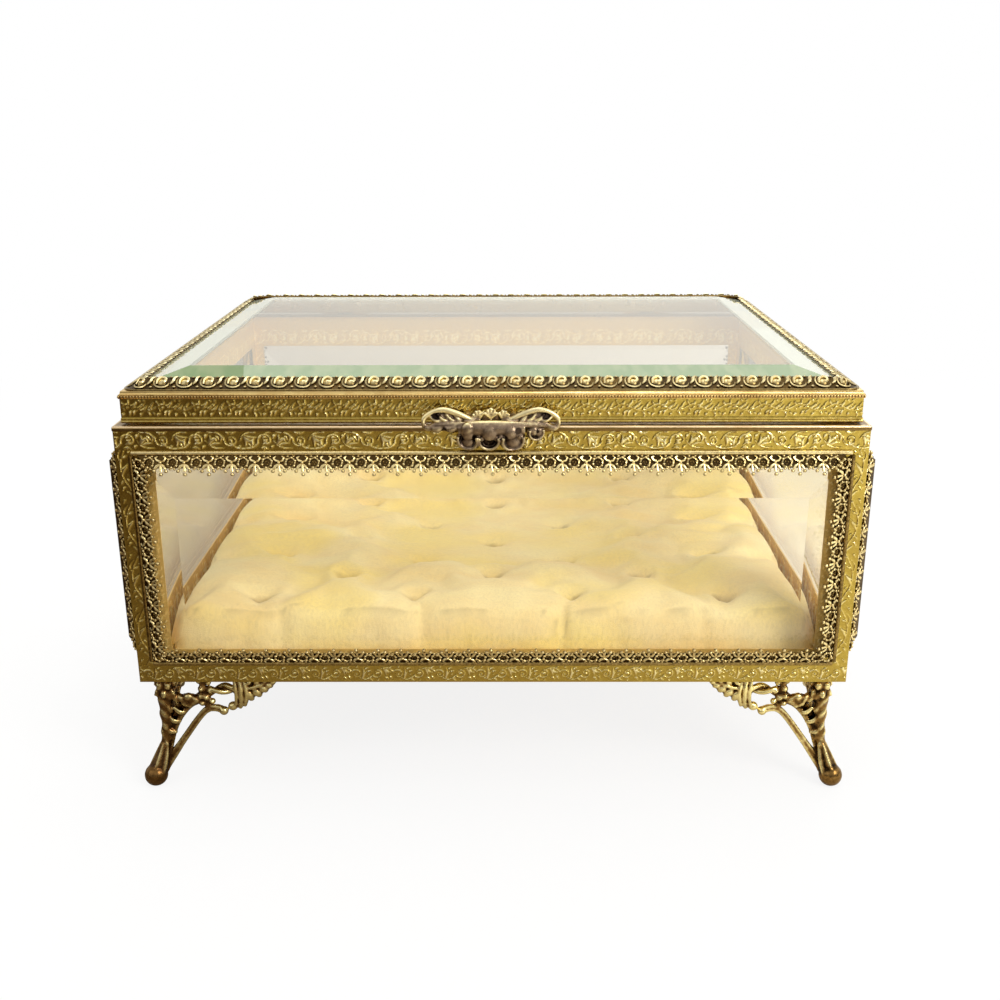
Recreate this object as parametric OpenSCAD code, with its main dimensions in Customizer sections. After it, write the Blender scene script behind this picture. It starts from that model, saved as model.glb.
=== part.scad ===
// Glass casket box: gilt sheet-metal frames round bevelled panes, on four cast feet, with a hinged lid.
// The floor is Z = 0, the front faces -Y, and the origin is under the middle of the outer box.

/* [Casket] */
// Width of the base across its front face
body_w = 203; // [160:1:260]
// Depth of the base from front face to back face
body_d = 162; // [130:1:220]
// Height of the base from its bottom to its rim
base_h = 76; // [64:1:110]
// Height of the feet, floor to the bottom of the base
foot_h = 34; // [30:1:40]
// Thickness of the sheet metal
sheet = 0.8; // [0.6:0.1:0.8]

/* [Windows] */
// Width of a frame post, corner to window
post_w = 6.9; // [6.5:0.1:8]
// Height of the frame rail above a window
top_rail_h = 9.4; // [9:0.1:12]
// Height of the frame rail below a window
low_rail_h = 7.2; // [6.8:0.1:9]
// Thickness of a wall pane
pane_t = 4; // [3.4:0.1:4]
// Thickness left at the edge of a bevelled wall pane
pane_edge_t = 2; // [1.5:0.1:2.4]
// Width of the bevel ground round a wall pane
bevel_w = 12.6; // [8:0.1:14]
// Height of the liner rail above the window, front and back
liner_top_h = 11.4; // [10.5:0.1:13]
// Height of the liner rail below the front and back windows
liner_low_h = 9.2; // [8:0.1:12]
// Height of the liner rail below the side windows
liner_side_low_h = 16.2; // [12:0.1:18]
// Distance from a corner to the liner's opening
liner_post_w = 10.8; // [10:0.1:13]

/* [Edging] */
// Distance from a corner to the outside of the edging's rail
edging_inset = 4.6; // [4:0.1:5.5]
// Height of the edging's rail along the frame
rail_h = 1.4; // [1.2:0.1:1.6]
// Spacing of the drops along an edging strip
drop_pitch = 6.35; // [5.5:0.05:8]
// Length of a drop from the rail to its tip, along the strip
drop_len = 6; // [5:0.1:6.6]
// Depth of the scrolled body of the strip, above the drops
scroll_h = 3.3; // [2.6:0.1:3.8]
// Angle at which the strip flares away from the wall
edging_flare = 24; // [16:1:28]
// Thickness of the edging strip
edging_t = 0.8; // [0.6:0.1:1]

/* [Lid] */
// Step from the base's face in to the lid's band
lid_inset = 2; // [1.5:0.1:2.5]
// Height of the lid's embossed band
band_h = 6.7; // [6:0.1:10]
// Gap between the base's rim and the closed lid
lid_gap = 0.35; // [0.3:0.05:0.5]
// Thickness of the lid's pane
lid_pane_t = 5; // [4:0.1:5]
// Thickness left at the edge of the lid's pane
lid_edge_t = 2; // [1.6:0.1:2.4]
// Width of the bevel ground round the lid's pane
lid_bevel_w = 11.2; // [8:0.1:13]
// Spacing of the gallery's scallops round the lid's pane
gallery_pitch = 3.2; // [2.8:0.1:4]

/* [Hinges] */
// Distance of each hinge's middle from the middle of the casket
hinge_x = 60; // [45:1:70]
// Outer radius of a hinge knuckle
knuckle_r = 2; // [1.8:0.1:2.2]
// Radius of a hinge pin
pin_r = 0.8; // [0.7:0.05:0.9]
// Radial play of the turning knuckle on its pin
pin_play = 0.05; // [0.02:0.01:0.08]
// Length of one hinge knuckle
knuckle_len = 6; // [5:0.5:8]

/* [Feet] */
// Length of a foot's wing from the corner
wing_len = 38.8; // [36:0.1:42]
// Thickness of a foot's pierced wing
wing_t = 2.4; // [2:0.1:3]
// Radius of the ball that a foot ends in
ball_r = 3.4; // [3:0.1:3.8]
// Distance of the ball's middle in from each face of the base
ball_inset = 2.4; // [2:0.1:4]

/* [Cushion] */
// Height of the cushion's crown above its board
cushion_h = 17.4; // [14:0.1:19]
// Height of the cushion's top edge above its board
cushion_edge_h = 12; // [9:0.1:14]
// Depth of a sewn tuft below the crown
tuft_depth = 3.6; // [2:0.1:5]
// Spacing of tufts across the casket
tuft_x = 46; // [40:1:52]
// Spacing of tuft rows from front to back
tuft_y = 17.2; // [15:0.1:19]

/* [Hidden] */

gilt = "goldenrod";
old_gilt = "darkgoldenrod";
cast_gilt = "peru";
clear_glass = [0.8, 0.9, 0.86, 0.45];

// Clearance between two pieces that lie against each other
fit = 0.05;
half_w = body_w / 2;
half_d = body_d / 2;

// Walls: frame plate, pane and liner, one behind the other, measured in from a face
rim_t = 0.8;
frame_h = base_h - rim_t;
pane_in = sheet + fit;
liner_in = pane_in + pane_t + fit;
wall_t = liner_in + sheet;
pane_lap = 2.2;
pane_low = low_rail_h - 4.2;
pane_top = frame_h - top_rail_h + 2.2;
glass_front_half = half_w - pane_lap;
glass_side_half = half_d - liner_in;

// Rim: a flat ring with a lip turned down over the faces
lip_t = 0.25;
lip_h = 1.4;
rim_w = 6.4;

// Edging
edging_low = 5.4;
edging_lap = 0.3;
edging_lift = edging_lap * sin(edging_flare) + 0.02;
edging_top = frame_h - 5.9;
rail_out = 0.9;

// Bottom, board and cushion
board_low = sheet + fit;
board_t = 1.8;
cushion_low = board_low + board_t + fit;
cushion_gap = 0.6;

// Lid: heights are above the bottom of the base
lid_low = base_h + lid_gap;
lid_half_w = half_w - lid_inset;
lid_half_d = half_d - lid_inset;
band_top = lid_low + band_h;
bead_out = 0.35;
bead_h = 0.9;
cove_h = 1.1;
cove_in = 1.4;
gallery_low = band_top + bead_h + cove_h;
gallery_in = 1.3;
gallery_len = 4.6;
gallery_lean = 56;
gallery_t = 0.6;
lid_pane_in = 4.2;
lid_pane_low = band_top + fit + sheet;
stop_w = 7;
lid_top = lid_pane_low + fit + lid_pane_t;

// Hinges
hinge_off = 2.6;
hinge_z = base_h + lid_gap / 2;
hinge_leaf_w = 3 * knuckle_len;
hinge_leaf_t = 0.8;
base_leaf_low = edging_top + 0.3;
base_leaf_top = base_h - lip_h - 0.1;
lid_leaf_top = band_top - 0.8;
rivet_r = 0.6;
rivet_head_r = 1.1;
rivet_head_h = 0.5;
rivet_tail_h = 0.3;
rivet_spread = 6;
base_rivet_z = (base_leaf_low + base_leaf_top) / 2;
lid_rivet_z = (lid_low + lid_leaf_top) / 2 + 0.4;
knuckle_gap = 0.1;
hole_play = 0.02;
pin_head_r = 1.4 * pin_r;
pin_head_h = 0.5;
knuckle_web_in = 0.3;
web_lap = 1;
web_out = lip_t + 0.1;

// Feet
flange_t = 1.2;
wing_v = 5;
flange_in = 3.2;
flange_w = 3.7;
screw_r = 1;
screw_head_r = 1.8;
screw_head_h = 1.1;
screw_u = 22;
screw_v = 9;
lug_r = 3;
nut_af = 4;
nut_t = 1.5;
nut_pocket_r = 2.6;
screw_top = sheet + nut_t + 0.15;
sole_cut = 0.5;

// Pull
pull_out = 8;
pull_back = 0.6;
pull_plate_t = 2;
pull_screw_x = 6;
pull_screw_r = 0.8;
pull_screw_z = lid_low + 2.6;
pull_screw_len = 3;
pull_foot_w = 17;
pull_foot_h = 4.2;
pull_foot_low = lid_low + 0.6;
crest_r = 1.5;
wing_span = 20;
trim = 20;
middle_lobes = [[0, 76, 2.6, 4.2], [0, 74.6, pull_out - 3.2, 3.2]];
side_lobes = [[5, 75.6, 3, 3], [5.4, 73.2, 4, 3.1], [11, 75.6, 2.8, 2]];

// The outer box runs from the pull's front to the hinge's back; this puts its middle at Y = 0
y_mid = (pull_out - hinge_off - knuckle_r) / 2;

// Moves a child from the base's own place to the model's place
module placed() {
  translate([0, y_mid, foot_h]) children();
}

// Draws a child on a wall: X along the wall, Y up from the base's bottom, Z out of the wall
module on_wall(turn, reach) {
  placed() rotate([0, 0, turn]) translate([0, -reach, 0]) rotate([90, 0, 0]) children();
}

module on_front() { on_wall(0, half_d) children(); }
module on_back() { on_wall(180, half_d) children(); }
module on_right() { on_wall(90, half_w) children(); }
module on_left() { on_wall(-90, half_w) children(); }

// Four corners of a rectangle, counter-clockwise
function corners(hx, hy, z) = [[-hx, -hy, z], [hx, -hy, z], [hx, hy, z], [-hx, hy, z]];

// A closed solid through a stack of rectangles, each [half width, half depth, height]
module stack(levels) {
  last = len(levels) - 1;
  points = [for (level = levels) each corners(level[0], level[1], level[2])];
  sides = [for (i = [0 : last - 1], k = [0 : 3])
    [4 * i + k, 4 * i + 4 + k, 4 * i + 4 + (k + 1) % 4, 4 * i + (k + 1) % 4]];
  polyhedron(points, concat([[0, 1, 2, 3]], sides, [[for (k = [3 : -1 : 0]) 4 * last + k]]));
}

// A mitred ring round a rectangle; the profile is [distance in, height], inner side first going down
module mitred_ring(hx, hy, profile) {
  n = len(profile);
  points = [for (k = [0 : 3], p = profile) corners(hx - p[0], hy - p[0], p[1])[k]];
  faces = [for (k = [0 : 3], i = [0 : n - 1])
    [n * k + i, n * k + (i + 1) % n, n * ((k + 1) % 4) + (i + 1) % n, n * ((k + 1) % 4) + i]];
  polyhedron(points, faces);
}

// The outline of a stroke of changing width along a path: points are [x, y, width]
function heading(path, i) =
  let (a = path[max(i - 1, 0)], b = path[min(i + 1, len(path) - 1)], d = [b[0] - a[0], b[1] - a[1]])
  d / norm(d);
function beside(path, i, side) =
  let (h = heading(path, i), p = path[i])
  [p[0] - side * h[1] * p[2] / 2, p[1] + side * h[0] * p[2] / 2];
function stroke(path) = concat(
  [for (i = [0 : len(path) - 1]) beside(path, i, 1)],
  [for (i = [len(path) - 1 : -1 : 0]) beside(path, i, -1)]
);

// A solid of round rings along a path: stations are [x, y, z, radius], rings lie flat
module column(stations, sides = 12) {
  n = len(stations);
  points = [for (s = stations, k = [0 : sides - 1])
    [s[0] + s[3] * cos(360 * k / sides), s[1] + s[3] * sin(360 * k / sides), s[2]]];
  walls = [for (i = [0 : n - 2], k = [0 : sides - 1])
    [i * sides + k, (i + 1) * sides + k, (i + 1) * sides + (k + 1) % sides, i * sides + (k + 1) % sides]];
  polyhedron(points, concat([[for (k = [0 : sides - 1]) k]], walls,
    [[for (k = [sides - 1 : -1 : 0]) (n - 1) * sides + k]]));
}

// Frames: a plate with a window, the window measured from the casket's corners
module frame_plate(span, plate_w, drilled = false) {
  color(gilt) translate([0, 0, -sheet]) linear_extrude(sheet) difference() {
    translate([-plate_w / 2, 0]) square([plate_w, frame_h]);
    translate([post_w - span / 2, low_rail_h])
      square([span - 2 * post_w, frame_h - low_rail_h - top_rail_h]);
    if (drilled) rivet_places(base_rivet_z) circle(r = rivet_r + hole_play, $fn = 24);
  }
}

// Puts a child at each rivet of the two hinges, at one height on the back wall
module rivet_places(z) {
  for (hinge = [-hinge_x, hinge_x], side = [-rivet_spread, rivet_spread])
    translate([hinge + side, z, 0]) children();
}

module side_frame() { frame_plate(body_d, body_d - 2 * (sheet + fit)); }
module front_frame() { on_front() frame_plate(body_w, body_w); }
module back_frame() { on_back() frame_plate(body_w, body_w, true); }
module left_frame() { on_left() side_frame(); }
module right_frame() { on_right() side_frame(); }

// Panes: flat inside, bevelled outside
module wall_pane(half) {
  half_h = (pane_top - pane_low) / 2;
  color(clear_glass) translate([0, pane_low + half_h, -pane_in]) stack([
    [half, half_h, -pane_t],
    [half, half_h, pane_edge_t - pane_t],
    [half - bevel_w, half_h - bevel_w, 0]
  ]);
}

module front_glass() { on_front() wall_pane(glass_front_half); }
module back_glass() { on_back() wall_pane(glass_front_half); }
module left_glass() { on_left() wall_pane(glass_side_half); }
module right_glass() { on_right() wall_pane(glass_side_half); }

// Liners: the embossed inner frames that hold the panes against the outer ones
module liner(span, half, low_h) {
  color(old_gilt) translate([0, 0, -wall_t]) linear_extrude(sheet) difference() {
    translate([-half, board_low]) square([2 * half, frame_h - board_low]);
    translate([liner_post_w - span / 2, low_h])
      square([span - 2 * liner_post_w, frame_h - low_h - liner_top_h]);
  }
}

module long_liner() { liner(body_w, half_w - liner_in - fit, liner_low_h); }
module side_liner() { liner(body_d, half_d - wall_t - fit, liner_side_low_h); }
module front_liner() { on_front() long_liner(); }
module back_liner() { on_back() long_liner(); }
module left_liner() { on_left() side_liner(); }
module right_liner() { on_right() side_liner(); }

// Edging: a smooth rail with a flared strip of scrolls, and a three-pointed drop at each pitch
function drop_count(flat) = floor((2 * flat - 0.75 * drop_pitch) / drop_pitch) + 1;
function drop_outline(x) = [
  [x - 0.5 * drop_pitch, -scroll_h - 0.5], [x - 0.35 * drop_pitch, -scroll_h],
  [x - 0.7, -scroll_h - 0.1], [x - 1.5, -scroll_h - 1], [x - 0.5, -scroll_h - 1.5],
  [x, -drop_len],
  [x + 0.5, -scroll_h - 1.5], [x + 1.5, -scroll_h - 1], [x + 0.7, -scroll_h - 0.1],
  [x + 0.35 * drop_pitch, -scroll_h]
];
function strip_outline(half) =
  let (flat = half - scroll_h * cos(edging_flare), n = drop_count(flat))
  concat(
    [[half, 0], [half, edging_lap], [-half, edging_lap], [-half, 0], [-flat, -scroll_h]],
    [for (k = [0 : n - 1]) each drop_outline((k - (n - 1) / 2) * drop_pitch)],
    [[n / 2 * drop_pitch, -scroll_h - 0.5], [flat, -scroll_h]]
  );

// The rail lies along X with its outer edge on Y = 0, and the drops point to -Y
module edging(rail_len, strip_half) {
  color(old_gilt) {
    translate([-rail_len / 2, 0, 0]) rotate([90, 0, 90]) linear_extrude(rail_len) polygon([
      [0, 0], [0, 0.45 * rail_out], [-0.25 * rail_h, 0.9 * rail_out], [-0.5 * rail_h, rail_out],
      [-0.75 * rail_h, 0.9 * rail_out], [-rail_h, 0.45 * rail_out], [-rail_h, 0]
    ]);
    translate([0, -rail_h, edging_lift]) rotate([-edging_flare, 0, 0])
      linear_extrude(edging_t) polygon(strip_outline(strip_half));
  }
}

module long_edging(span) {
  rail_len = span - 2 * edging_inset;
  edging(rail_len, rail_len / 2 - rail_h - fit);
}

module upright_edging() {
  rail_len = edging_top - edging_low - 2 * (rail_h + fit);
  edging(rail_len, rail_len / 2 - fit);
}

module top_edging(span) { translate([0, edging_top, 0]) long_edging(span); }
module bottom_edging(span) { translate([0, edging_low, 0]) rotate([0, 0, 180]) long_edging(span); }
module left_hand_edging(span) {
  translate([edging_inset - span / 2, (edging_low + edging_top) / 2, 0])
    rotate([0, 0, 90]) upright_edging();
}
module right_hand_edging(span) {
  translate([span / 2 - edging_inset, (edging_low + edging_top) / 2, 0])
    rotate([0, 0, -90]) upright_edging();
}

module front_top_edging() { on_front() top_edging(body_w); }
module front_bottom_edging() { on_front() bottom_edging(body_w); }
module front_left_edging() { on_front() left_hand_edging(body_w); }
module front_right_edging() { on_front() right_hand_edging(body_w); }
module back_top_edging() { on_back() top_edging(body_w); }
module back_bottom_edging() { on_back() bottom_edging(body_w); }
module back_left_edging() { on_back() right_hand_edging(body_w); }
module back_right_edging() { on_back() left_hand_edging(body_w); }
module left_top_edging() { on_left() top_edging(body_d); }
module left_bottom_edging() { on_left() bottom_edging(body_d); }
module left_front_edging() { on_left() right_hand_edging(body_d); }
module left_back_edging() { on_left() left_hand_edging(body_d); }
module right_top_edging() { on_right() top_edging(body_d); }
module right_bottom_edging() { on_right() bottom_edging(body_d); }
module right_front_edging() { on_right() left_hand_edging(body_d); }
module right_back_edging() { on_right() right_hand_edging(body_d); }

// Rim: closes the top of the walls, with a rounded lip over the faces
module base_rim() {
  color(gilt) placed() mitred_ring(half_w, half_d, [
    [0, base_h - lip_h], [-lip_t, base_h - lip_h], [-lip_t, base_h - 0.3], [0, base_h],
    [rim_w, base_h], [rim_w, frame_h], [0, frame_h]
  ]);
}

// Bottom plate, with a hole for each foot screw
module bottom_plate() {
  inset = sheet + fit;
  color(gilt) placed() linear_extrude(sheet) difference() {
    square([body_w - 2 * inset, body_d - 2 * inset], center = true);
    foot_screw_places() circle(r = screw_r + hole_play, $fn = 24);
  }
}

// Puts a child at each foot screw
module foot_screw_places() {
  for (sx = [-1, 1], sy = [-1, 1], uv = [[screw_u, screw_v], [screw_v, screw_u]])
    translate([sx * (half_w - uv[0]), sy * (half_d - uv[1]), 0]) children();
}

// Board under the cushion, with a pocket over each foot screw's nut
module cushion_board() {
  color("tan") placed() translate([0, 0, board_low]) linear_extrude(board_t) difference() {
    square([body_w - 2 * (wall_t + 0.2), body_d - 2 * (wall_t + 0.2)], center = true);
    foot_screw_places() circle(r = nut_pocket_r, $fn = 32);
  }
}

// Cushion: crowned, drawn in between its corners, and sewn down at tufts set in a diamond pattern
cushion_hw = half_w - wall_t - cushion_gap;
cushion_hd = half_d - wall_t - cushion_gap;
grid_x = tuft_x / 8;
grid_y = tuft_y / 3;
grid_cols = floor((cushion_hw - 2) / grid_x);
grid_rows = floor((cushion_hd - 2) / grid_y - 0.5);
cushion_xs = concat([-cushion_hw], [for (i = [-grid_cols : grid_cols]) i * grid_x], [cushion_hw]);
cushion_ys = concat([-cushion_hd], [for (j = [-grid_rows - 1 : grid_rows]) (j + 0.5) * grid_y],
  [cushion_hd]);
tuft_rows = 4;
tuft_spread = 6.5;
edge_roll = 14;
draw_in = 0.01;
tufts = [for (row = [-tuft_rows : tuft_rows - 1]) let (wide = (row + tuft_rows) % 2 == 0)
  for (i = wide ? [-1.5 : 1.5] : [-1 : 1]) [i * tuft_x, (row + 0.5) * tuft_y]];
function tuft_pull(x, y) = max([for (t = tufts) exp(-pow(norm([x - t[0], y - t[1]]) / tuft_spread, 2))]);
function edge_rise(d) = sqrt(1 - pow(1 - min(d / edge_roll, 1), 2));
function cushion_z(x, y) =
  cushion_edge_h + (cushion_h - cushion_edge_h) * edge_rise(min(cushion_hw - abs(x), cushion_hd - abs(y)))
  - tuft_depth * tuft_pull(x, y);
function drawn(x, y) = [
  x * (1 - draw_in * (1 - pow(y / cushion_hd, 2))),
  y * (1 - draw_in * (1 - pow(x / cushion_hw, 2)))
];

module cushion() {
  nx = len(cushion_xs);
  ny = len(cushion_ys);
  top = [for (y = cushion_ys, x = cushion_xs) concat(drawn(x, y), [cushion_z(x, y)])];
  edge = concat(
    [for (i = [0 : nx - 2]) i],
    [for (j = [0 : ny - 2]) j * nx + nx - 1],
    [for (i = [nx - 1 : -1 : 1]) (ny - 1) * nx + i],
    [for (j = [ny - 1 : -1 : 1]) j * nx]
  );
  n = len(edge);
  foot = [for (e = edge) [top[e][0], top[e][1], 0]];
  upper = [for (j = [0 : ny - 2], i = [0 : nx - 2]) let (a = j * nx + i)
    each [[a, a + nx, a + nx + 1], [a, a + nx + 1, a + 1]]];
  sides = [for (k = [0 : n - 1]) let (m = (k + 1) % n, o = nx * ny)
    each [[o + k, edge[k], edge[m]], [o + k, edge[m], o + m]]];
  color("moccasin") placed() translate([0, 0, cushion_low])
    polyhedron(concat(top, foot), concat(upper, sides, [[for (k = [0 : n - 1]) nx * ny + k]]));
}

// Feet: drawn at the front left corner, X and Y inwards from it, and mirrored to the others.
// Strokes are [inwards, up, width] from the corner and the bottom of the base
module foot_wing_outline() {
  polygon(stroke([[8, -6.6, 3], [12, -7.4, 2.6], [17.4, -6.8, 2.8], [22, -5.6, 2.2], [27, -5.2, 2.4]]));
  polygon(stroke([[16.4, -0.6, 3.4], [17, -5, 3], [17.6, -10.6, 3.4]]));
  polygon(stroke([[23.6, -10.4, 1.8], [21.6, -11.2, 2.6], [18.4, -10.9, 2.4], [15.8, -13, 2.2],
    [11.6, -19.9, 2.2], [7.8, -25.4, 2.4], [4.8, -29.2, 3]]));
  translate([24.6, -9.6]) circle(r = 1.6, $fn = 24);
  translate([23, -10.9]) circle(r = 1.3, $fn = 24);
  polygon([[25, -0.6], [29.8, -0.6], [30.2, -5], [29.2, -9.3], [26, -10.7], [25, -9], [26.2, -5]]);
  polygon([
    [29, -0.6], [wing_len, -0.6], [wing_len - 0.2, -3],
    [wing_len - 1.8, -5.4], [33.4, -8], [29.2, -9.3]
  ]);
  polygon([[4, -0.6], [9.7, -0.6], [10.4, -3.4], [12, -6.6], [14.6, -8.6], [11.6, -11.5], [8.8, -15.6],
    [7.4, -20], [7, -23], [4, -21], [4.5, -13], [5, -8.2], [3.9, -5]]);
}

module foot_wing() {
  translate([0, wing_v + wing_t / 2, 0]) rotate([90, 0, 0]) linear_extrude(wing_t) foot_wing_outline();
}

module foot_flange_half() {
  translate([flange_in, flange_in]) square([wing_len - flange_in, flange_w]);
  translate([screw_u - lug_r, flange_in]) square([2 * lug_r, screw_v - flange_in]);
  translate([screw_u, screw_v]) circle(r = lug_r, $fn = 32);
}

module foot() {
  ball_up = ball_r - sole_cut - foot_h;
  color(cast_gilt) {
    translate([0, 0, -flange_t]) linear_extrude(flange_t) difference() {
      union() {
        foot_flange_half();
        mirror([1, -1]) foot_flange_half();
      }
      translate([screw_u, screw_v]) circle(r = screw_r + hole_play, $fn = 24);
      translate([screw_v, screw_u]) circle(r = screw_r + hole_play, $fn = 24);
    }
    foot_wing();
    mirror([1, -1, 0]) foot_wing();
    column([
      [3.2, 3.2, -29.5, 3], [3.7, 3.7, -27.8, 2.7], [4.8, 4.8, -24.6, 2.1], [5.6, 5.6, -21, 1.9],
      [6, 6, -17, 2.2], [6.3, 6.3, -12, 2.6], [6.2, 6.2, -8.4, 2.4], [6, 6, -5, 3.1], [6, 6, -0.6, 2.8]
    ]);
    intersection() {
      translate([ball_inset, ball_inset, ball_up]) sphere(r = ball_r, $fn = 48);
      translate([ball_inset - ball_r, ball_inset - ball_r, -foot_h]) cube(2 * ball_r);
    }
  }
}

// Puts the foot at a corner: flip_x moves it to the right, flip_y to the back
module foot_at(flip_x, flip_y) {
  placed() mirror([flip_x, 0, 0]) mirror([0, flip_y, 0]) translate([-half_w, -half_d, 0]) foot();
}

module front_left_foot() { foot_at(0, 0); }
module front_right_foot() { foot_at(1, 0); }
module rear_left_foot() { foot_at(0, 1); }
module rear_right_foot() { foot_at(1, 1); }

// A round-headed fastener: the head's flat face is on Z = 0, the dome is above it, the shank below
module round_head(head_r, head_h, shank_r, shank_len) {
  rotate_extrude($fn = 32) polygon([
    [0, -shank_len], [shank_r, -shank_len], [shank_r, 0], [head_r, 0], [head_r, 0.3 * head_h],
    [0.75 * head_r, 0.8 * head_h], [0.35 * head_r, head_h], [0, head_h]
  ]);
}

module foot_screws() {
  color("gray") placed() foot_screw_places() translate([0, 0, -flange_t]) mirror([0, 0, 1])
    round_head(screw_head_r, screw_head_h, screw_r, flange_t + screw_top);
}

module foot_nuts() {
  color("gray") placed() foot_screw_places() translate([0, 0, sheet]) difference() {
    cylinder(r = nut_af / sqrt(3), h = nut_t, $fn = 6);
    translate([0, 0, -1]) cylinder(r = screw_r + hole_play, h = nut_t + 2, $fn = 24);
  }
}

// Hinges: drawn on the back wall round the middle of a hinge, with the pin along X
module knuckle(x, hole_r) {
  translate([x, hinge_z, hinge_off]) rotate([0, 90, 0]) difference() {
    cylinder(r = knuckle_r, h = knuckle_len - 2 * knuckle_gap, center = true, $fn = 32);
    cylinder(r = hole_r, h = knuckle_len + 2, center = true, $fn = 32);
  }
}

module pin_clearance() {
  translate([-hinge_leaf_w, hinge_z, hinge_off]) rotate([0, 90, 0])
    cylinder(r = knuckle_r - knuckle_web_in, h = 2 * hinge_leaf_w, $fn = 32);
}

module base_hinge_leaf() {
  outer = knuckle_len - 2 * knuckle_gap;
  color(gilt) {
    difference() {
      translate([-hinge_leaf_w / 2, base_leaf_low, 0])
        cube([hinge_leaf_w, base_leaf_top - base_leaf_low, hinge_leaf_t]);
      for (x = [-rivet_spread, rivet_spread]) translate([x, base_rivet_z, -1])
        cylinder(r = rivet_r + hole_play, h = hinge_leaf_t + 2, $fn = 24);
    }
    for (x = [-knuckle_len, knuckle_len]) {
      knuckle(x, pin_r + hole_play);
      difference() {
        translate([x - outer / 2, base_leaf_top - web_lap, web_out])
          cube([outer, hinge_z - base_leaf_top + web_lap, hinge_off - web_out]);
        pin_clearance();
      }
    }
  }
}

module lid_hinge_leaf() {
  inner = knuckle_len - 2 * knuckle_gap;
  web_low = lid_low + fit;
  color(gilt) {
    difference() {
      translate([-hinge_leaf_w / 2, web_low, -lid_inset])
        cube([hinge_leaf_w, lid_leaf_top - web_low, hinge_leaf_t]);
      for (x = [-rivet_spread, rivet_spread]) translate([x, lid_rivet_z, -lid_inset - 1])
        cylinder(r = rivet_r + hole_play, h = hinge_leaf_t + 2, $fn = 24);
    }
    knuckle(0, pin_r + pin_play);
    difference() {
      translate([-inner / 2, web_low, -lid_inset]) cube([inner, hinge_leaf_t, hinge_off + lid_inset]);
      pin_clearance();
    }
  }
}

// A pin with a low head at each end, just outside the outer knuckles
module hinge_pin() {
  half = hinge_leaf_w / 2;
  tip = half + pin_head_h;
  rim = half + 0.4 * pin_head_h;
  crown_r = 0.6 * pin_head_r;
  color("silver") translate([0, hinge_z, hinge_off]) rotate([0, 90, 0]) rotate_extrude($fn = 32) polygon([
    [0, -tip], [crown_r, -tip], [pin_head_r, -rim], [pin_head_r, -half], [pin_r, -half],
    [pin_r, half], [pin_head_r, half], [pin_head_r, rim], [crown_r, tip], [0, tip]
  ]);
}

module at_hinge(x) { on_back() translate([-x, 0, 0]) children(); }
module left_base_hinge_leaf() { at_hinge(-hinge_x) base_hinge_leaf(); }
module right_base_hinge_leaf() { at_hinge(hinge_x) base_hinge_leaf(); }
module left_lid_hinge_leaf() { at_hinge(-hinge_x) lid_hinge_leaf(); }
module right_lid_hinge_leaf() { at_hinge(hinge_x) lid_hinge_leaf(); }
module left_hinge_pin() { at_hinge(-hinge_x) hinge_pin(); }
module right_hinge_pin() { at_hinge(hinge_x) hinge_pin(); }

// A rivet through a leaf and the sheet behind it, with a small tail inside
module hinge_rivet() {
  grip = hinge_leaf_t + sheet;
  translate([0, 0, hinge_leaf_t]) round_head(rivet_head_r, rivet_head_h, rivet_r, grip);
  translate([0, 0, -sheet - rivet_tail_h]) cylinder(r = 0.9 * rivet_head_r, h = rivet_tail_h, $fn = 24);
}

module base_hinge_rivets() { color("silver") on_back() rivet_places(base_rivet_z) hinge_rivet(); }
module lid_hinge_rivets() {
  color("silver") on_back() translate([0, 0, -lid_inset]) rivet_places(lid_rivet_z) hinge_rivet();
}

// Lid band, drilled for the pull's screws and the hinge rivets
module lid_band() {
  color(gilt) difference() {
    placed() mitred_ring(lid_half_w, lid_half_d, [
      [0, lid_low], [0, band_top], [sheet, band_top], [sheet, lid_low]
    ]);
    on_front() for (x = [-pull_screw_x, pull_screw_x]) translate([x, pull_screw_z, -lid_inset - 2 * sheet])
      cylinder(r = pull_screw_r + hole_play, h = 3 * sheet, $fn = 24);
    on_back() rivet_places(lid_rivet_z) translate([0, 0, -lid_inset - 2 * sheet])
      cylinder(r = rivet_r + hole_play, h = 3 * sheet, $fn = 24);
  }
}

// Moulding: a bead that stands out of the band, a cove and a ledge for the gallery
module lid_moulding() {
  bead_top = band_top + bead_h;
  color(gilt) placed() mitred_ring(lid_half_w, lid_half_d, [
    [0, band_top], [-bead_out, band_top + 0.15], [-bead_out, bead_top - 0.15], [0.2, bead_top],
    [0.7, bead_top + 0.25 * cove_h], [1, bead_top + 0.6 * cove_h], [0.8 * gallery_in, gallery_low],
    [1.7 * gallery_in, gallery_low], [1.7 * gallery_in, band_top]
  ]);
}

// Ledge that the lid's pane is bedded on
module lid_glass_stop() {
  stop_in = 1.7 * gallery_in;
  color(old_gilt) placed() mitred_ring(lid_half_w, lid_half_d, [
    [stop_in, band_top + fit], [stop_in, lid_pane_low], [stop_w, lid_pane_low], [stop_w, band_top + fit]
  ]);
}

module lid_glass() {
  hx = lid_half_w - lid_pane_in;
  hy = lid_half_d - lid_pane_in;
  low = lid_pane_low + fit;
  color(clear_glass) placed() stack([
    [hx, hy, low], [hx, hy, low + lid_edge_t], [hx - lid_bevel_w, hy - lid_bevel_w, lid_top]
  ]);
}

// Gallery: a scalloped strip that leans in over the edge of the lid's pane, mitred at its ends
function scallop(x) = [
  [x - 0.5 * gallery_pitch, gallery_len - 0.7], [x - 0.3 * gallery_pitch, gallery_len - 0.15],
  [x, gallery_len], [x + 0.3 * gallery_pitch, gallery_len - 0.15]
];

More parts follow.
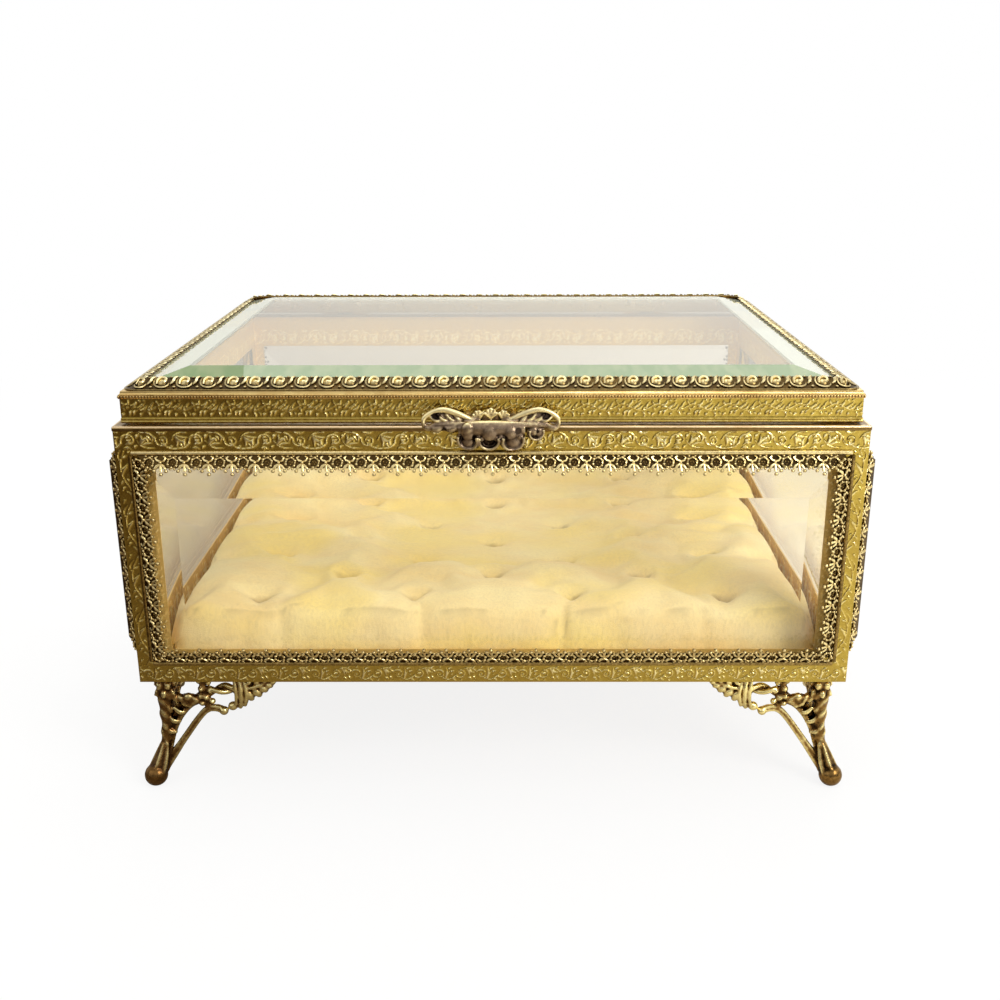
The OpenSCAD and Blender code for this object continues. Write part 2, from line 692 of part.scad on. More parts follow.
module gallery(half_span) {
  half = half_span - gallery_in - fit;
  tip = half - gallery_len * sin(gallery_lean);
  n = floor(2 * tip / gallery_pitch);
  outline = concat(
    [[tip, gallery_len - 0.7], [half, 0], [-half, 0], [-tip, gallery_len - 0.7]],
    [for (k = [0 : n - 1]) each scallop((k - (n - 1) / 2) * gallery_pitch)],
    [[n / 2 * gallery_pitch, gallery_len - 0.7]]
  );
  color(old_gilt) translate([0, gallery_low, -lid_inset - gallery_in]) rotate([-gallery_lean, 0, 0])
    linear_extrude(gallery_t) polygon(outline);
}

module lid_front_gallery() { on_front() gallery(lid_half_w); }
module lid_back_gallery() { on_back() gallery(lid_half_w); }
module lid_left_gallery() { on_left() gallery(lid_half_d); }
module lid_right_gallery() { on_right() gallery(lid_half_d); }

// Pull: two leaf scrolls and a crest, with shell lobes standing forward under them.
// Wing strokes are [across, up, width], lobes are [across, up, out, radius]
module pull_wing() {
  polygon(stroke([[0, 77, 4.4], [4, 78.2, 3.6], [8, 80.2, 2.4], [11.5, 81, 1.8], [15, 80.2, 2.2],
    [17.4, 78.4, 2.4], [17, 76.6, 1.8]]));
  polygon(stroke([[3, 75.8, 4], [9, 77, 2.8], [13.6, 77.6, 2.6], [16.4, 77, 2]]));
  translate([3.1, 80.3]) circle(r = crest_r, $fn = 24);
  translate([16.6, 77.2]) circle(r = 1.8, $fn = 24);
}

// A rounded lobe made of flat rings, each ring at its own distance out of the wall
module lobe(spot) {
  r = spot[3];
  translate([spot[0], spot[1], spot[2]])
    column([for (tilt = [-90, -60, -25, 25, 60, 90]) [0, 0, r * sin(tilt), r * max(cos(tilt), 0.3)]]);
}

module lid_pull() {
  color("rosybrown") on_front() difference() {
    union() {
      translate([0, 0, pull_back]) linear_extrude(pull_plate_t) {
        pull_wing();
        mirror([1, 0]) pull_wing();
        translate([0, 80.9]) circle(r = crest_r, $fn = 24);
        translate([-2.2, 75]) square([4.4, 6]);
      }
      translate([-pull_foot_w / 2, pull_foot_low, -lid_inset])
        cube([pull_foot_w, pull_foot_h, lid_inset + pull_back + 0.2]);
      for (spot = middle_lobes) lobe(spot);
      for (side = [0, 1], spot = side_lobes) mirror([side, 0, 0]) lobe(spot);
    }
    translate([-wing_span, pull_foot_low - trim, pull_back - trim]) cube([2 * wing_span, trim, trim]);
    for (x = [-pull_screw_x, pull_screw_x]) translate([x, pull_screw_z, -lid_inset - 1])
      cylinder(r = pull_screw_r + hole_play, h = pull_screw_len + 1.2, $fn = 24);
  }
}

module lid_pull_screws() {
  color("gray") on_front() for (x = [-pull_screw_x, pull_screw_x])
    translate([x, pull_screw_z, -lid_inset - sheet]) mirror([0, 0, 1])
      round_head(2 * pull_screw_r, pull_screw_r, pull_screw_r, pull_screw_len);
}

front_frame();
back_frame();
left_frame();
right_frame();
front_glass();
back_glass();
left_glass();
right_glass();
front_liner();
back_liner();
left_liner();
right_liner();
front_top_edging();
front_bottom_edging();
front_left_edging();
front_right_edging();
back_top_edging();
back_bottom_edging();
back_left_edging();
back_right_edging();
left_top_edging();
left_bottom_edging();
left_front_edging();
left_back_edging();
right_top_edging();
right_bottom_edging();
right_front_edging();
right_back_edging();
base_rim();
bottom_plate();
cushion_board();
cushion();
front_left_foot();
front_right_foot();
rear_left_foot();
rear_right_foot();
foot_screws();
foot_nuts();
left_base_hinge_leaf();
right_base_hinge_leaf();
left_hinge_pin();
right_hinge_pin();
base_hinge_rivets();
lid_band();
lid_moulding();
lid_glass();
lid_glass_stop();
lid_front_gallery();
lid_back_gallery();
lid_left_gallery();
lid_right_gallery();
lid_pull();
lid_pull_screws();
left_lid_hinge_leaf();
right_lid_hinge_leaf();
lid_hinge_rivets();
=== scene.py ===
"""Looks of a gilt casket box with bevelled glass walls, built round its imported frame.

Shapes are worked out in millimetres and become metres when a mesh is made. Every piece is placed
from the frame's own boxes, so it lies where the construction says.
"""

import logging
import math
from dataclasses import dataclass, field
from enum import Enum
from functools import partial
from typing import Callable, Sequence

import bmesh
import bpy
import numpy as np
from mathutils import Matrix, Vector


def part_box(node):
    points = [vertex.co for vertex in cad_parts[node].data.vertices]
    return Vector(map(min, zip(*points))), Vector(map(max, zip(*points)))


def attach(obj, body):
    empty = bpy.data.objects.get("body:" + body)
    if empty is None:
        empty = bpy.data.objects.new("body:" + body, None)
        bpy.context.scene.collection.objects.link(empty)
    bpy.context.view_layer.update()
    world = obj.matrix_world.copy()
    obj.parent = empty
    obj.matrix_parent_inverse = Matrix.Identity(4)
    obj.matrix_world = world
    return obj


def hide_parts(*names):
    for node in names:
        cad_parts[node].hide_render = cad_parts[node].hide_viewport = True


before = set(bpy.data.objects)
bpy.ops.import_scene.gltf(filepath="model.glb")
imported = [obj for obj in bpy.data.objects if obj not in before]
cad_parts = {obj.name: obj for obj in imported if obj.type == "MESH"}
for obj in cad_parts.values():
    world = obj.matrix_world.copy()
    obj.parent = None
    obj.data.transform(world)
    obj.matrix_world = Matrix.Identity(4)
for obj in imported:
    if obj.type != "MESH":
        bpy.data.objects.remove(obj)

LOG = logging.getLogger("casket")
MM = 0.001
RELIEF = "relief"
OUTWARDS = (0, 0, 1)

Mesh = bpy.types.Mesh
Material = bpy.types.Material
Object = bpy.types.Object
Node = bpy.types.Node
Socket = bpy.types.NodeSocket
Points = np.ndarray
Station = Sequence[float]
Faces = list[list[int]]
Colour = tuple[float, float, float]
Rise = Callable[[Points, Points], Points]


def lines(low: float, high: float, step: float) -> Points:
    """Evenly spaced grid lines from low to high, at most a step apart."""
    return np.linspace(low, high, max(1, math.ceil((high - low) / step - 1e-6)) + 1)


def ramp(value: Points, low: float, high: float) -> Points:
    """A smooth rise from 0 at low to 1 at high."""
    t = np.clip((value - low) / (high - low), 0, 1)
    return t * t * (3 - 2 * t)


def smooth_path(stations: Sequence[Station], count: int) -> Points:
    """Points on a smooth curve through the given stations.

    Args:
        stations: Points of the path; numbers past the first three, such as radii, follow along.
        count: How many points to return, evenly spaced along the curve.

    Returns:
        An array with one row for each point.
    """
    p = np.asarray(stations, float)
    q = np.vstack([2 * p[0] - p[1], p, 2 * p[-1] - p[-2]])
    t = np.linspace(0, len(p) - 1, 16 * (len(p) - 1) + 1)
    i = np.minimum(t.astype(int), len(p) - 2)
    f = (t - i)[:, None]
    a, b, c, d = q[i], q[i + 1], q[i + 2], q[i + 3]
    dense = 0.5 * (2 * b + (c - a) * f + (2 * a - 5 * b + 4 * c - d) * f**2 + (3 * b - a - 3 * c + d) * f**3)
    run = np.concatenate([[0], np.cumsum(np.linalg.norm(np.diff(dense[:, :3], axis=0), axis=1))])
    s = np.linspace(0, run[-1], count)
    return np.stack([np.interp(s, run, dense[:, k]) for k in range(dense.shape[1])], 1)


def spiral(centre: Sequence[float], outer: float, inner: float, start: float, sweep: float) -> Points:
    """A curl that winds inwards.

    Args:
        centre: Middle of the curl, across and up.
        outer: Radius where it starts.
        inner: Radius where it ends.
        start: Angle where it starts, in degrees.
        sweep: Degrees that it turns, negative for clockwise.

    Returns:
        Points along the curl.
    """
    t = np.linspace(0, 1, max(8, int(abs(sweep) / 12)))
    angle = np.radians(start + sweep * t)
    radius = outer + (inner - outer) * t**0.8
    return np.stack([centre[0] + radius * np.cos(angle), centre[1] + radius * np.sin(angle)], 1)


def build_mesh(name: str, points: Points, quads: Points, others: Sequence[Sequence[int]] = ()) -> Mesh:
    """Makes a mesh from millimetre points.

    Args:
        name: Name of the mesh.
        points: One row for each point, in millimetres.
        quads: One row of four point numbers for each four-sided face.
        others: Faces with any other number of corners.

    Returns:
        The mesh, in metres.
    """
    quads = np.asarray(quads, np.int64).reshape(-1, 4)
    loops = np.concatenate([quads.ravel(), *[np.asarray(f, np.int64) for f in others]])
    sizes = np.concatenate([np.full(len(quads), 4), [len(f) for f in others]]).astype(np.int64)
    mesh = bpy.data.meshes.new(name)
    mesh.vertices.add(len(points))
    mesh.vertices.foreach_set("co", (np.asarray(points, float) * MM).astype(np.float32).ravel())
    mesh.loops.add(len(loops))
    mesh.loops.foreach_set("vertex_index", loops.astype(np.int32))
    mesh.polygons.add(len(sizes))
    mesh.polygons.foreach_set("loop_start", (np.cumsum(sizes) - sizes).astype(np.int32))
    mesh.update(calc_edges=True)
    mesh.validate()
    return mesh


def set_relief(mesh: Mesh, values: Points) -> None:
    """Stores, for each point, how bright its metal or cloth is, from 0 to 1: low in hollows and high on
    rubbed ridges, with painted light and shade added on some pieces.
    """
    store = mesh.attributes.new(RELIEF, "FLOAT", "POINT")
    store.data.foreach_set("value", np.clip(values, 0, 1).astype(np.float32))


def scale_relief(mesh: Mesh, share: Points) -> None:
    """Multiplies the brightness of a mesh's points, up to full."""
    values = np.empty(len(mesh.vertices), np.float32)
    mesh.attributes[RELIEF].data.foreach_get("value", values)
    mesh.attributes[RELIEF].data.foreach_set("value", np.clip(values * share, 0, 1).astype(np.float32))


def mesh_points(mesh: Mesh) -> Points:
    """The mesh's points as an array, in the mesh's own unit."""
    co = np.empty(len(mesh.vertices) * 3, np.float32)
    mesh.vertices.foreach_get("co", co)
    return co.reshape(-1, 3).astype(float)


def dress(mesh: Mesh, material: Material, smooth_angle: float = 50) -> None:
    """Gives a mesh its material, and shades it smooth except across edges sharper than some degrees."""
    mesh.materials.clear()
    mesh.materials.append(material)
    mesh.shade_smooth()
    mesh.set_sharp_from_angle(angle=math.radians(smooth_angle))


def new_object(name: str, data: bpy.types.ID) -> Object:
    """Puts new data in the scene as an object."""
    thing = bpy.data.objects.new(name, data)
    bpy.context.scene.collection.objects.link(thing)
    return thing


def move_points(mesh: Mesh, points: Points) -> None:
    """Moves every point of a mesh, in the mesh's own unit."""
    mesh.vertices.foreach_set("co", points.astype(np.float32).ravel())
    mesh.update()


def add_piece(name: str, mesh: Mesh, body: str, nodes: Sequence[str] = ()) -> Object:
    """Puts a finished mesh in the scene as a piece of the casket.

    Args:
        name: Name of the piece.
        mesh: Its mesh, already in place.
        body: Body that it rides on.
        nodes: Nodes that it stands for.

    Returns:
        The new object.
    """
    piece = new_object(name, mesh)
    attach(piece, body)
    if nodes:
        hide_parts(*nodes)
    LOG.info("%s: %d faces on body %s", name, len(mesh.polygons), body)
    return piece


@dataclass(frozen=True)
class Span:
    """The box of one node of the frame, in millimetres."""

    low: Vector
    high: Vector

    @classmethod
    def of(cls, node: str) -> "Span":
        """Reads a node's box from the frame."""
        low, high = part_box(node)
        return cls(low / MM, high / MM)


class Side(Enum):
    """A wall of the casket, by the turn that brings the front wall to it."""

    FRONT = 0
    RIGHT = 90
    BACK = 180
    LEFT = -90

    @property
    def word(self) -> str:
        """The side's name in lower case."""
        return self.name.lower()

    @property
    def long(self) -> bool:
        """True for the front and the back."""
        return self in (Side.FRONT, Side.BACK)


ENDS = {
    Side.FRONT: ("left", "right"),
    Side.RIGHT: ("front", "back"),
    Side.BACK: ("right", "left"),
    Side.LEFT: ("back", "front"),
}


@dataclass(frozen=True)
class Wall:
    """A wall's own axes: X along it as seen from outside, Y up from the base's bottom, Z out of it."""

    side: Side
    reach: float
    half: float
    y_mid: float
    floor: float

    def matrix(self) -> Matrix:
        """The matrix from the wall's axes to the casket's, in millimetres."""
        turn = Matrix.Rotation(math.radians(self.side.value), 4, "Z")
        stand = Matrix.Rotation(math.radians(90), 4, "X")
        place = Matrix.Translation((0, self.y_mid, self.floor))
        return place @ turn @ Matrix.Translation((0, -self.reach, 0)) @ stand

    def put(self, points: Points) -> Points:
        """Moves points from the wall's axes to the casket's."""
        m = np.array(self.matrix())
        return points @ m[:3, :3].T + m[:3, 3]


@dataclass(frozen=True)
class Casket:
    """The casket's main sizes, read from the frame, in millimetres."""

    base: Span = field(default_factory=partial(Span.of, "front_frame"))
    back: Span = field(default_factory=partial(Span.of, "back_frame"))
    rim: Span = field(default_factory=partial(Span.of, "base_rim"))
    band: Span = field(default_factory=partial(Span.of, "lid_band"))

    @property
    def half_w(self) -> float:
        """Half the base's width."""
        return self.base.high.x

    @property
    def half_d(self) -> float:
        """Half the base's depth."""
        return (self.back.high.y - self.base.low.y) / 2

    @property
    def y_mid(self) -> float:
        """Where the middle of the base's depth lies."""
        return (self.back.high.y + self.base.low.y) / 2

    @property
    def floor(self) -> float:
        """Height of the base's bottom above the ground."""
        return self.base.low.z

    @property
    def frame_h(self) -> float:
        """Height of the wall plates."""
        return self.base.high.z - self.base.low.z

    @property
    def lid_half(self) -> tuple[float, float]:
        """Half the lid band's width, and half its depth."""
        return self.band.high.x, (self.band.high.y - self.band.low.y) / 2

    def wall(self, side: Side) -> Wall:
        """A wall's axes, on the base's face."""
        reach, half = (self.half_d, self.half_w) if side.long else (self.half_w, self.half_d)
        return Wall(side, reach, half, self.y_mid, self.floor)

    def lid_side(self, side: Side, inset: float = 0, floor: float = 0) -> Wall:
        """A side of the lid, on the plane that lies inset from its band, with Y counted from floor."""
        half_x, half_y = self.lid_half
        half, reach = (half_x, half_y) if side.long else (half_y, half_x)
        return Wall(side, reach - inset, half - inset, self.y_mid, floor)


class Relief:
    """A stamped pattern: rounded ridges and hollows on a tile that repeats along a band."""

    STEP = 0.08
    BUD = 0.3

    def __init__(self, period: float, depth: float) -> None:
        """Starts a bare tile.

        Args:
            period: Length of the tile along the band.
            depth: Width of the band.
        """
        self.cols = max(8, round(period / self.STEP))
        self.rows = round(depth / self.STEP) + 1
        self.period = period
        self.depth = depth
        self.rise = np.zeros((self.rows, self.cols))

    def _stamp(self, x: float, y: float, reach: float, rise: float, cut: bool) -> None:
        """Presses one round spot into the tile, wrapped round its ends.

        Args:
            x: Its place along the band.
            y: Its place across the band.
            reach: Its radius.
            rise: Its height.
            cut: True for a hollow.
        """
        dx, dy = self.period / self.cols, self.depth / (self.rows - 1)
        cols = np.arange(math.floor((x - reach) / dx), math.ceil((x + reach) / dx) + 1)
        lowest, highest = math.floor((y - reach) / dy), math.ceil((y + reach) / dy)
        rows = np.arange(max(0, lowest), min(self.rows, highest + 1))
        if len(rows) == 0:
            return
        far = ((cols * dx - x) ** 2)[None, :] + ((rows * dy - y) ** 2)[:, None]
        spot = rise * np.sqrt(np.clip(1 - far / reach**2, 0, 1))
        where = np.ix_(rows, cols % self.cols)
        old = self.rise[where]
        self.rise[where] = np.minimum(old, 1 - spot) if cut else np.maximum(old, spot)

    def ridge(
        self, path: Sequence[Station], width: Sequence[float], rise: float = 1, cut: bool = False
    ) -> None:
        """Draws a ridge along a path.

        Args:
            path: Points of the path, across and up.
            width: Widths spaced evenly along it.
            rise: Height of the ridge, as a share of the full relief.
            cut: True for a groove into what is there.
        """
        flat = np.asarray(path, float)
        run = np.concatenate([[0], np.cumsum(np.linalg.norm(np.diff(flat, axis=0), axis=1))])
        s = np.linspace(0, run[-1], max(3, int(run[-1] / 0.1)))
        xs, ys = np.interp(s, run, flat[:, 0]), np.interp(s, run, flat[:, 1])
        ws = np.interp(s / run[-1], np.linspace(0, 1, len(width)), width)
        for x, y, w in zip(xs, ys, ws):
            self._stamp(x, y, max(w / 2, self.STEP), rise, cut)

    def curve(self, points: Sequence[Station], width: Sequence[float], rise: float = 1) -> None:
        """Draws a ridge along a smooth curve through a few points."""
        deep = [(x, y, 0) for x, y in points]
        self.ridge(smooth_path(deep, 24)[:, :2], width, rise)

    def leaf(self, base: Station, tip: Station, bend: float, width: float, rise: float = 1) -> None:
        """Draws a pointed leaf with a cut vein.

        Args:
            base: Where it grows from.
            tip: Where it ends.
            bend: How far its middle bulges to the left of the line from base to tip.
            width: Its greatest width.
            rise: Its height.
        """
        a, b = np.array(base, float), np.array(tip, float)
        side = np.array([a[1] - b[1], b[0] - a[0]]) / np.linalg.norm(b - a)
        points = [a, 0.5 * (a + b) + bend * side, b]
        self.curve(points, [0.15, 0.8 * width, width, 0.6 * width, 0.12], rise)
        vein = smooth_path([(*points[0], 0), (*points[1], 0), (*points[2], 0)], 12)[1:9, :2]
        self.ridge(vein, [0.2, 0.14], 0.45 * rise, cut=True)

    def curl(
        self, centre: Station, outer: float, start: float, sweep: float, width: float, rise: float = 1
    ) -> None:
        """Draws a curl that winds inwards to a bud.

        Args:
            centre: Its middle.
            outer: Radius that it starts at.
            start: Angle that it starts at, in degrees.
            sweep: How far it turns, in degrees.
            width: Width of its stem at the start.
            rise: Its height.
        """
        bud = self.BUD * outer
        self.ridge(spiral(centre, outer, bud, start, sweep), [width, 0.8 * width, 0.6 * width], rise)
        self.ridge([centre, (centre[0] + 0.05, centre[1])], [bud], rise)

    def sample(self, along: Points, across: Points) -> Points:
        """The pattern's height, from 0 to 1, at places along and across the band."""
        u = (along / self.period * self.cols) % self.cols
        v = np.clip(across / self.depth * (self.rows - 1), 0, self.rows - 1.001)
        i, j = np.floor(u).astype(int), np.floor(v).astype(int)
        fu, fv = u - i, v - j
        k = (i + 1) % self.cols
        i = i % self.cols
        low = self.rise[j, i] * (1 - fu) + self.rise[j, k] * fu
        high = self.rise[j + 1, i] * (1 - fu) + self.rise[j + 1, k] * fu
        inside = (across >= 0) & (across <= self.depth)
        return (low * (1 - fv) + high * fv) * inside


class Drawn:
    """A tile that is drawn at one size and stretched to fit a band a whole number of times."""

    def __init__(self, span: float, depth: float, pitch: float, tile: Station) -> None:
        """Starts the tile.

        Args:
            span: Length of the band, which the pattern fills.
            depth: Width of the band.
            pitch: About how long one repeat is.
            tile: Length and width that the pattern is drawn at.
        """
        period = span / round(span / pitch)
        self.relief = Relief(period, depth)
        self.fx, self.fy = period / tile[0], depth / tile[1]

    def at(self, *points: Station) -> list[tuple[float, float]]:
        """Moves points from the drawn tile to the fitted one."""
        return [(x * self.fx, y * self.fy) for x, y in points]

    def stem(self, points: Sequence[Station], width: Sequence[float], rise: float = 0.9) -> None:
        """Draws a stem along a smooth curve."""
        self.relief.curve(self.at(*points), [w * self.fy for w in width], rise)

    def curl(self, x: float, y: float, r: float, start: float, sweep: float, width: float) -> None:
        """Draws a curl that winds inwards."""
        self.relief.curl(self.at((x, y))[0], r * self.fy, start, sweep, width * self.fy, 0.9)

    def leaves(self, rows: Sequence[tuple[Station, Station, float, float]], rise: float = 0.8) -> None:
        """Draws leaves, each with its base, tip, bend and width."""
        for base, tip, bend, width in rows:
            self.relief.leaf(*self.at(base, tip), bend * self.fy, width * self.fy, rise)

    def commas(self, rows: Sequence[tuple[Station, Station, float]], width: float = 0.5) -> None:
        """Draws short bright strokes, each with its two ends and its bend."""
        for base, tip, bend in rows:
            a, b = (np.array(p) for p in self.at(base, tip))
            side = np.array([a[1] - b[1], b[0] - a[0]]) / np.linalg.norm(b - a)
            points = [tuple(a), tuple(0.5 * (a + b) + bend * self.fy * side), tuple(b)]
            self.relief.curve(points, [0.1, 0.7 * width, width, 0.5 * width, 0.1], 1)

    def dots(self, places: Sequence[Station], size: float) -> None:
        """Draws small round buds."""
        for x, y in places:
            self.relief.ridge(self.at((x, y), (x + 0.05, y)), [size * self.fy], 0.85)


def running_scrolls(span: float, depth: float, pitch: float) -> Relief:
    """The broad pattern of curls, leaves and fans that runs along the tops of the walls."""
    d = Drawn(span, depth, pitch, (18.4, 4.9))
    d.curl(4.0, 2.4, 2.15, 200, -330, 0.34)
    d.curl(13.1, 2.5, 1.85, -200, 400, 0.3)
    d.stem([(1.9, 1.8), (0.6, 0.7), (-2.4, 0.35), (-4.4, 0.9), (-5.3, 2.3)], [0.34, 0.28, 0.2])
    d.stem([(11.2, 3.0), (9.6, 4.3), (7.4, 4.6), (5.6, 4.7), (4.2, 4.3), (3.6, 3.7)], [0.34, 0.28, 0.2])
    d.stem([(6.1, 2.4), (7.2, 1.2), (9.0, 0.5), (11.0, 0.4)], [0.16, 0.28, 0.18])
    d.stem([(15.5, 2.5), (16.4, 3.7), (17.8, 4.4), (19.6, 4.5)], [0.16, 0.28, 0.18])
    d.leaves((
        ((7.2, 1.4), (9.4, 3.2), 0.3, 0.8),
        ((7.0, 1.6), (7.4, 3.9), -0.3, 0.7),
        ((7.4, 1.1), (10.4, 1.7), 0.3, 0.6),
        ((16.5, 3.4), (17.0, 0.9), 0.3, 0.75),
        ((16.6, 3.5), (19.2, 1.9), -0.3, 0.85),
        ((16.8, 3.7), (19.9, 3.3), -0.25, 0.55),
        ((0.3, 0.9), (1.0, 3.2), 0.3, 0.6),
        ((10.2, 3.9), (10.2, 2.1), 0.3, 0.6),
    ))
    d.commas((
        ((8.3, 3.2), (9.2, 2.2), 0.2), ((8.9, 3.6), (9.9, 2.6), 0.2), ((17.6, 1.7), (18.4, 0.7), 0.2),
        ((3.4, 2.0), (4.6, 2.6), 0.3), ((3.1, 1.3), (4.9, 1.7), 0.35), ((6.0, 2.9), (6.9, 4.1), 0.25),
        ((18.3, 2.1), (19.1, 1.1), 0.2), ((3.2, 2.9), (4.4, 3.3), 0.25), ((12.6, 1.9), (13.8, 1.5), -0.25),
        ((14.6, 0.5), (15.6, 0.3), 0.15), ((5.4, 0.4), (6.2, 1.1), 0.2), ((11.6, 4.6), (12.4, 4.1), 0.2),
    ))
    d.leaves([((3.6, 0.9), tip, 0.0, 0.36) for tip in ((2.5, 0.2), (3.5, 0.0), (4.6, 0.1))])
    d.leaves([((13.2, 4.1), tip, 0.0, 0.36) for tip in ((12.0, 4.8), (13.2, 4.9), (14.4, 4.8))])
    d.dots(((6.4, 3.6), (15.4, 1.0), (8.4, 2.6), (18.0, 0.5)), 0.42)
    return d.relief


def small_scrolls(span: float, depth: float, pitch: float) -> Relief:
    """The finer pattern of small curls and leaves along the feet of the walls."""
    d = Drawn(span, depth, pitch, (11.9, 4.6))
    d.curl(2.8, 2.1, 1.6, 150, -380, 0.28)
    d.curl(8.8, 2.5, 1.6, -150, 380, 0.28)
    d.stem([(-2.4, 3.6), (-0.8, 4.1), (0.7, 3.6), (1.6, 2.8)], [0.16, 0.26, 0.26])
    d.stem([(3.6, 1.0), (5.2, 0.5), (6.6, 1.0), (7.6, 1.8)], [0.16, 0.26, 0.26])
    d.leaves((
        ((4.6, 0.7), (5.6, 2.9), 0.3, 0.65),
        ((4.4, 0.9), (4.7, 4.0), -0.3, 0.6),
        ((10.4, 3.9), (11.3, 1.7), 0.3, 0.65),
        ((10.6, 3.8), (12.8, 2.6), -0.2, 0.55),
        ((6.4, 0.9), (7.4, 0.1), 0.0, 0.4),
        ((0.2, 3.9), (1.0, 4.5), 0.0, 0.4),
        ((-0.6, 3.8), (-0.2, 2.2), 0.2, 0.45),
    ))
    d.commas((
        ((5.2, 3.4), (6.2, 4.0), 0.2), ((5.9, 2.6), (6.9, 3.2), 0.2), ((11.0, 1.2), (11.8, 0.5), 0.2),
        ((0.2, 1.6), (1.0, 0.7), 0.2), ((8.4, 2.2), (9.4, 2.4), 0.2),
    ), 0.44)
    d.dots(((6.2, 2.0), (8.9, 0.3), (2.9, 4.3)), 0.4)
    return d.relief


def long_stems(span: float, depth: float, pitch: float) -> Relief:
    """The upright pattern on the posts: long curved stems with leaves on both sides."""
    d = Drawn(span, depth, pitch, (16.0, 4.6))
    wave = [(0, 2.3), (2.6, 3.6), (5.2, 3.0), (8, 1.4), (10.8, 0.9), (13.4, 1.2), (16, 2.3)]
    d.stem(wave, [0.24, 0.32, 0.24], 0.7)
    d.stem([(4.6, 3.4), (6.6, 4.1), (8.2, 3.6), (8.8, 2.6)], [0.28, 0.16], 0.7)
    d.stem([(12.4, 1.0), (14.2, 0.4), (15.6, 0.9), (16.3, 1.7)], [0.28, 0.16], 0.7)
    d.leaves((
        ((1.4, 3.0), (0.8, 4.4), 0.2, 0.55),
        ((2.6, 3.6), (4.4, 1.7), 0.3, 0.7),
        ((3.2, 3.6), (5.0, 4.5), 0.2, 0.5),
        ((7.4, 1.8), (6.2, 0.5), 0.2, 0.55),
        ((9.0, 1.2), (11.2, 2.7), -0.3, 0.75),
        ((10.4, 0.9), (12.4, 3.3), 0.3, 0.6),
        ((11.6, 3.4), (13.6, 4.2), 0.2, 0.5),
        ((13.8, 1.4), (14.6, 3.0), 0.2, 0.55),
    ), 0.65)
    d.commas((
        ((5.6, 1.8), (4.6, 0.9), 0.2), ((2.0, 1.4), (1.0, 0.7), 0.2), ((9.6, 3.4), (10.6, 4.2), 0.2),
        ((15.2, 3.0), (15.8, 4.0), 0.2), ((7.4, 2.9), (8.0, 2.2), 0.15),
    ), 0.36)
    return d.relief


def leaf_sprays(span: float, depth: float, pitch: float) -> Relief:
    """The small-leaved pattern on the lid's band: faint sprays above, and bright comma leaves low down."""
    d = Drawn(span, depth, pitch, (9.6, 4.7))
    wave = [(0, 2.6), (1.6, 3.4), (3.4, 3.1), (4.8, 2.4), (6.4, 1.8), (8.2, 2.0), (9.6, 2.6)]
    d.stem(wave, [0.2, 0.26], 0.8)
    d.leaves((
        ((1.2, 3.2), (0.3, 4.5), 0.2, 0.4),
        ((2.0, 3.3), (2.3, 4.6), -0.2, 0.4),
        ((3.4, 3.1), (4.6, 4.4), -0.3, 0.5),
        ((4.6, 2.4), (6.2, 3.6), -0.3, 0.5),
        ((5.8, 2.0), (7.4, 3.3), -0.3, 0.5),
        ((7.6, 1.8), (8.6, 3.0), 0.2, 0.4),
        ((8.4, 2.2), (9.2, 3.9), 0.2, 0.4),
        ((0.6, 2.6), (1.2, 1.5), 0.2, 0.4),
    ), 0.75)
    d.commas((
        ((2.4, 0.4), (3.5, 1.9), 0.32), ((3.5, 0.5), (4.5, 2.0), 0.32), ((7.3, 1.5), (8.0, 0.2), 0.3),
        ((0.4, 0.4), (1.2, 1.0), 0.2), ((5.3, 0.3), (6.1, 1.2), 0.2),
    ), 0.5)
    d.commas((
        ((1.7, 2.2), (2.6, 2.8), 0.2), ((6.4, 4.2), (7.2, 4.5), 0.15), ((5.0, 4.5), (5.6, 4.0), 0.15),
        ((8.8, 1.3), (9.4, 0.6), 0.15), ((3.0, 2.3), (3.9, 2.7), 0.15), ((6.2, 2.7), (6.9, 3.9), 0.15),
    ), 0.3)
    return d.relief


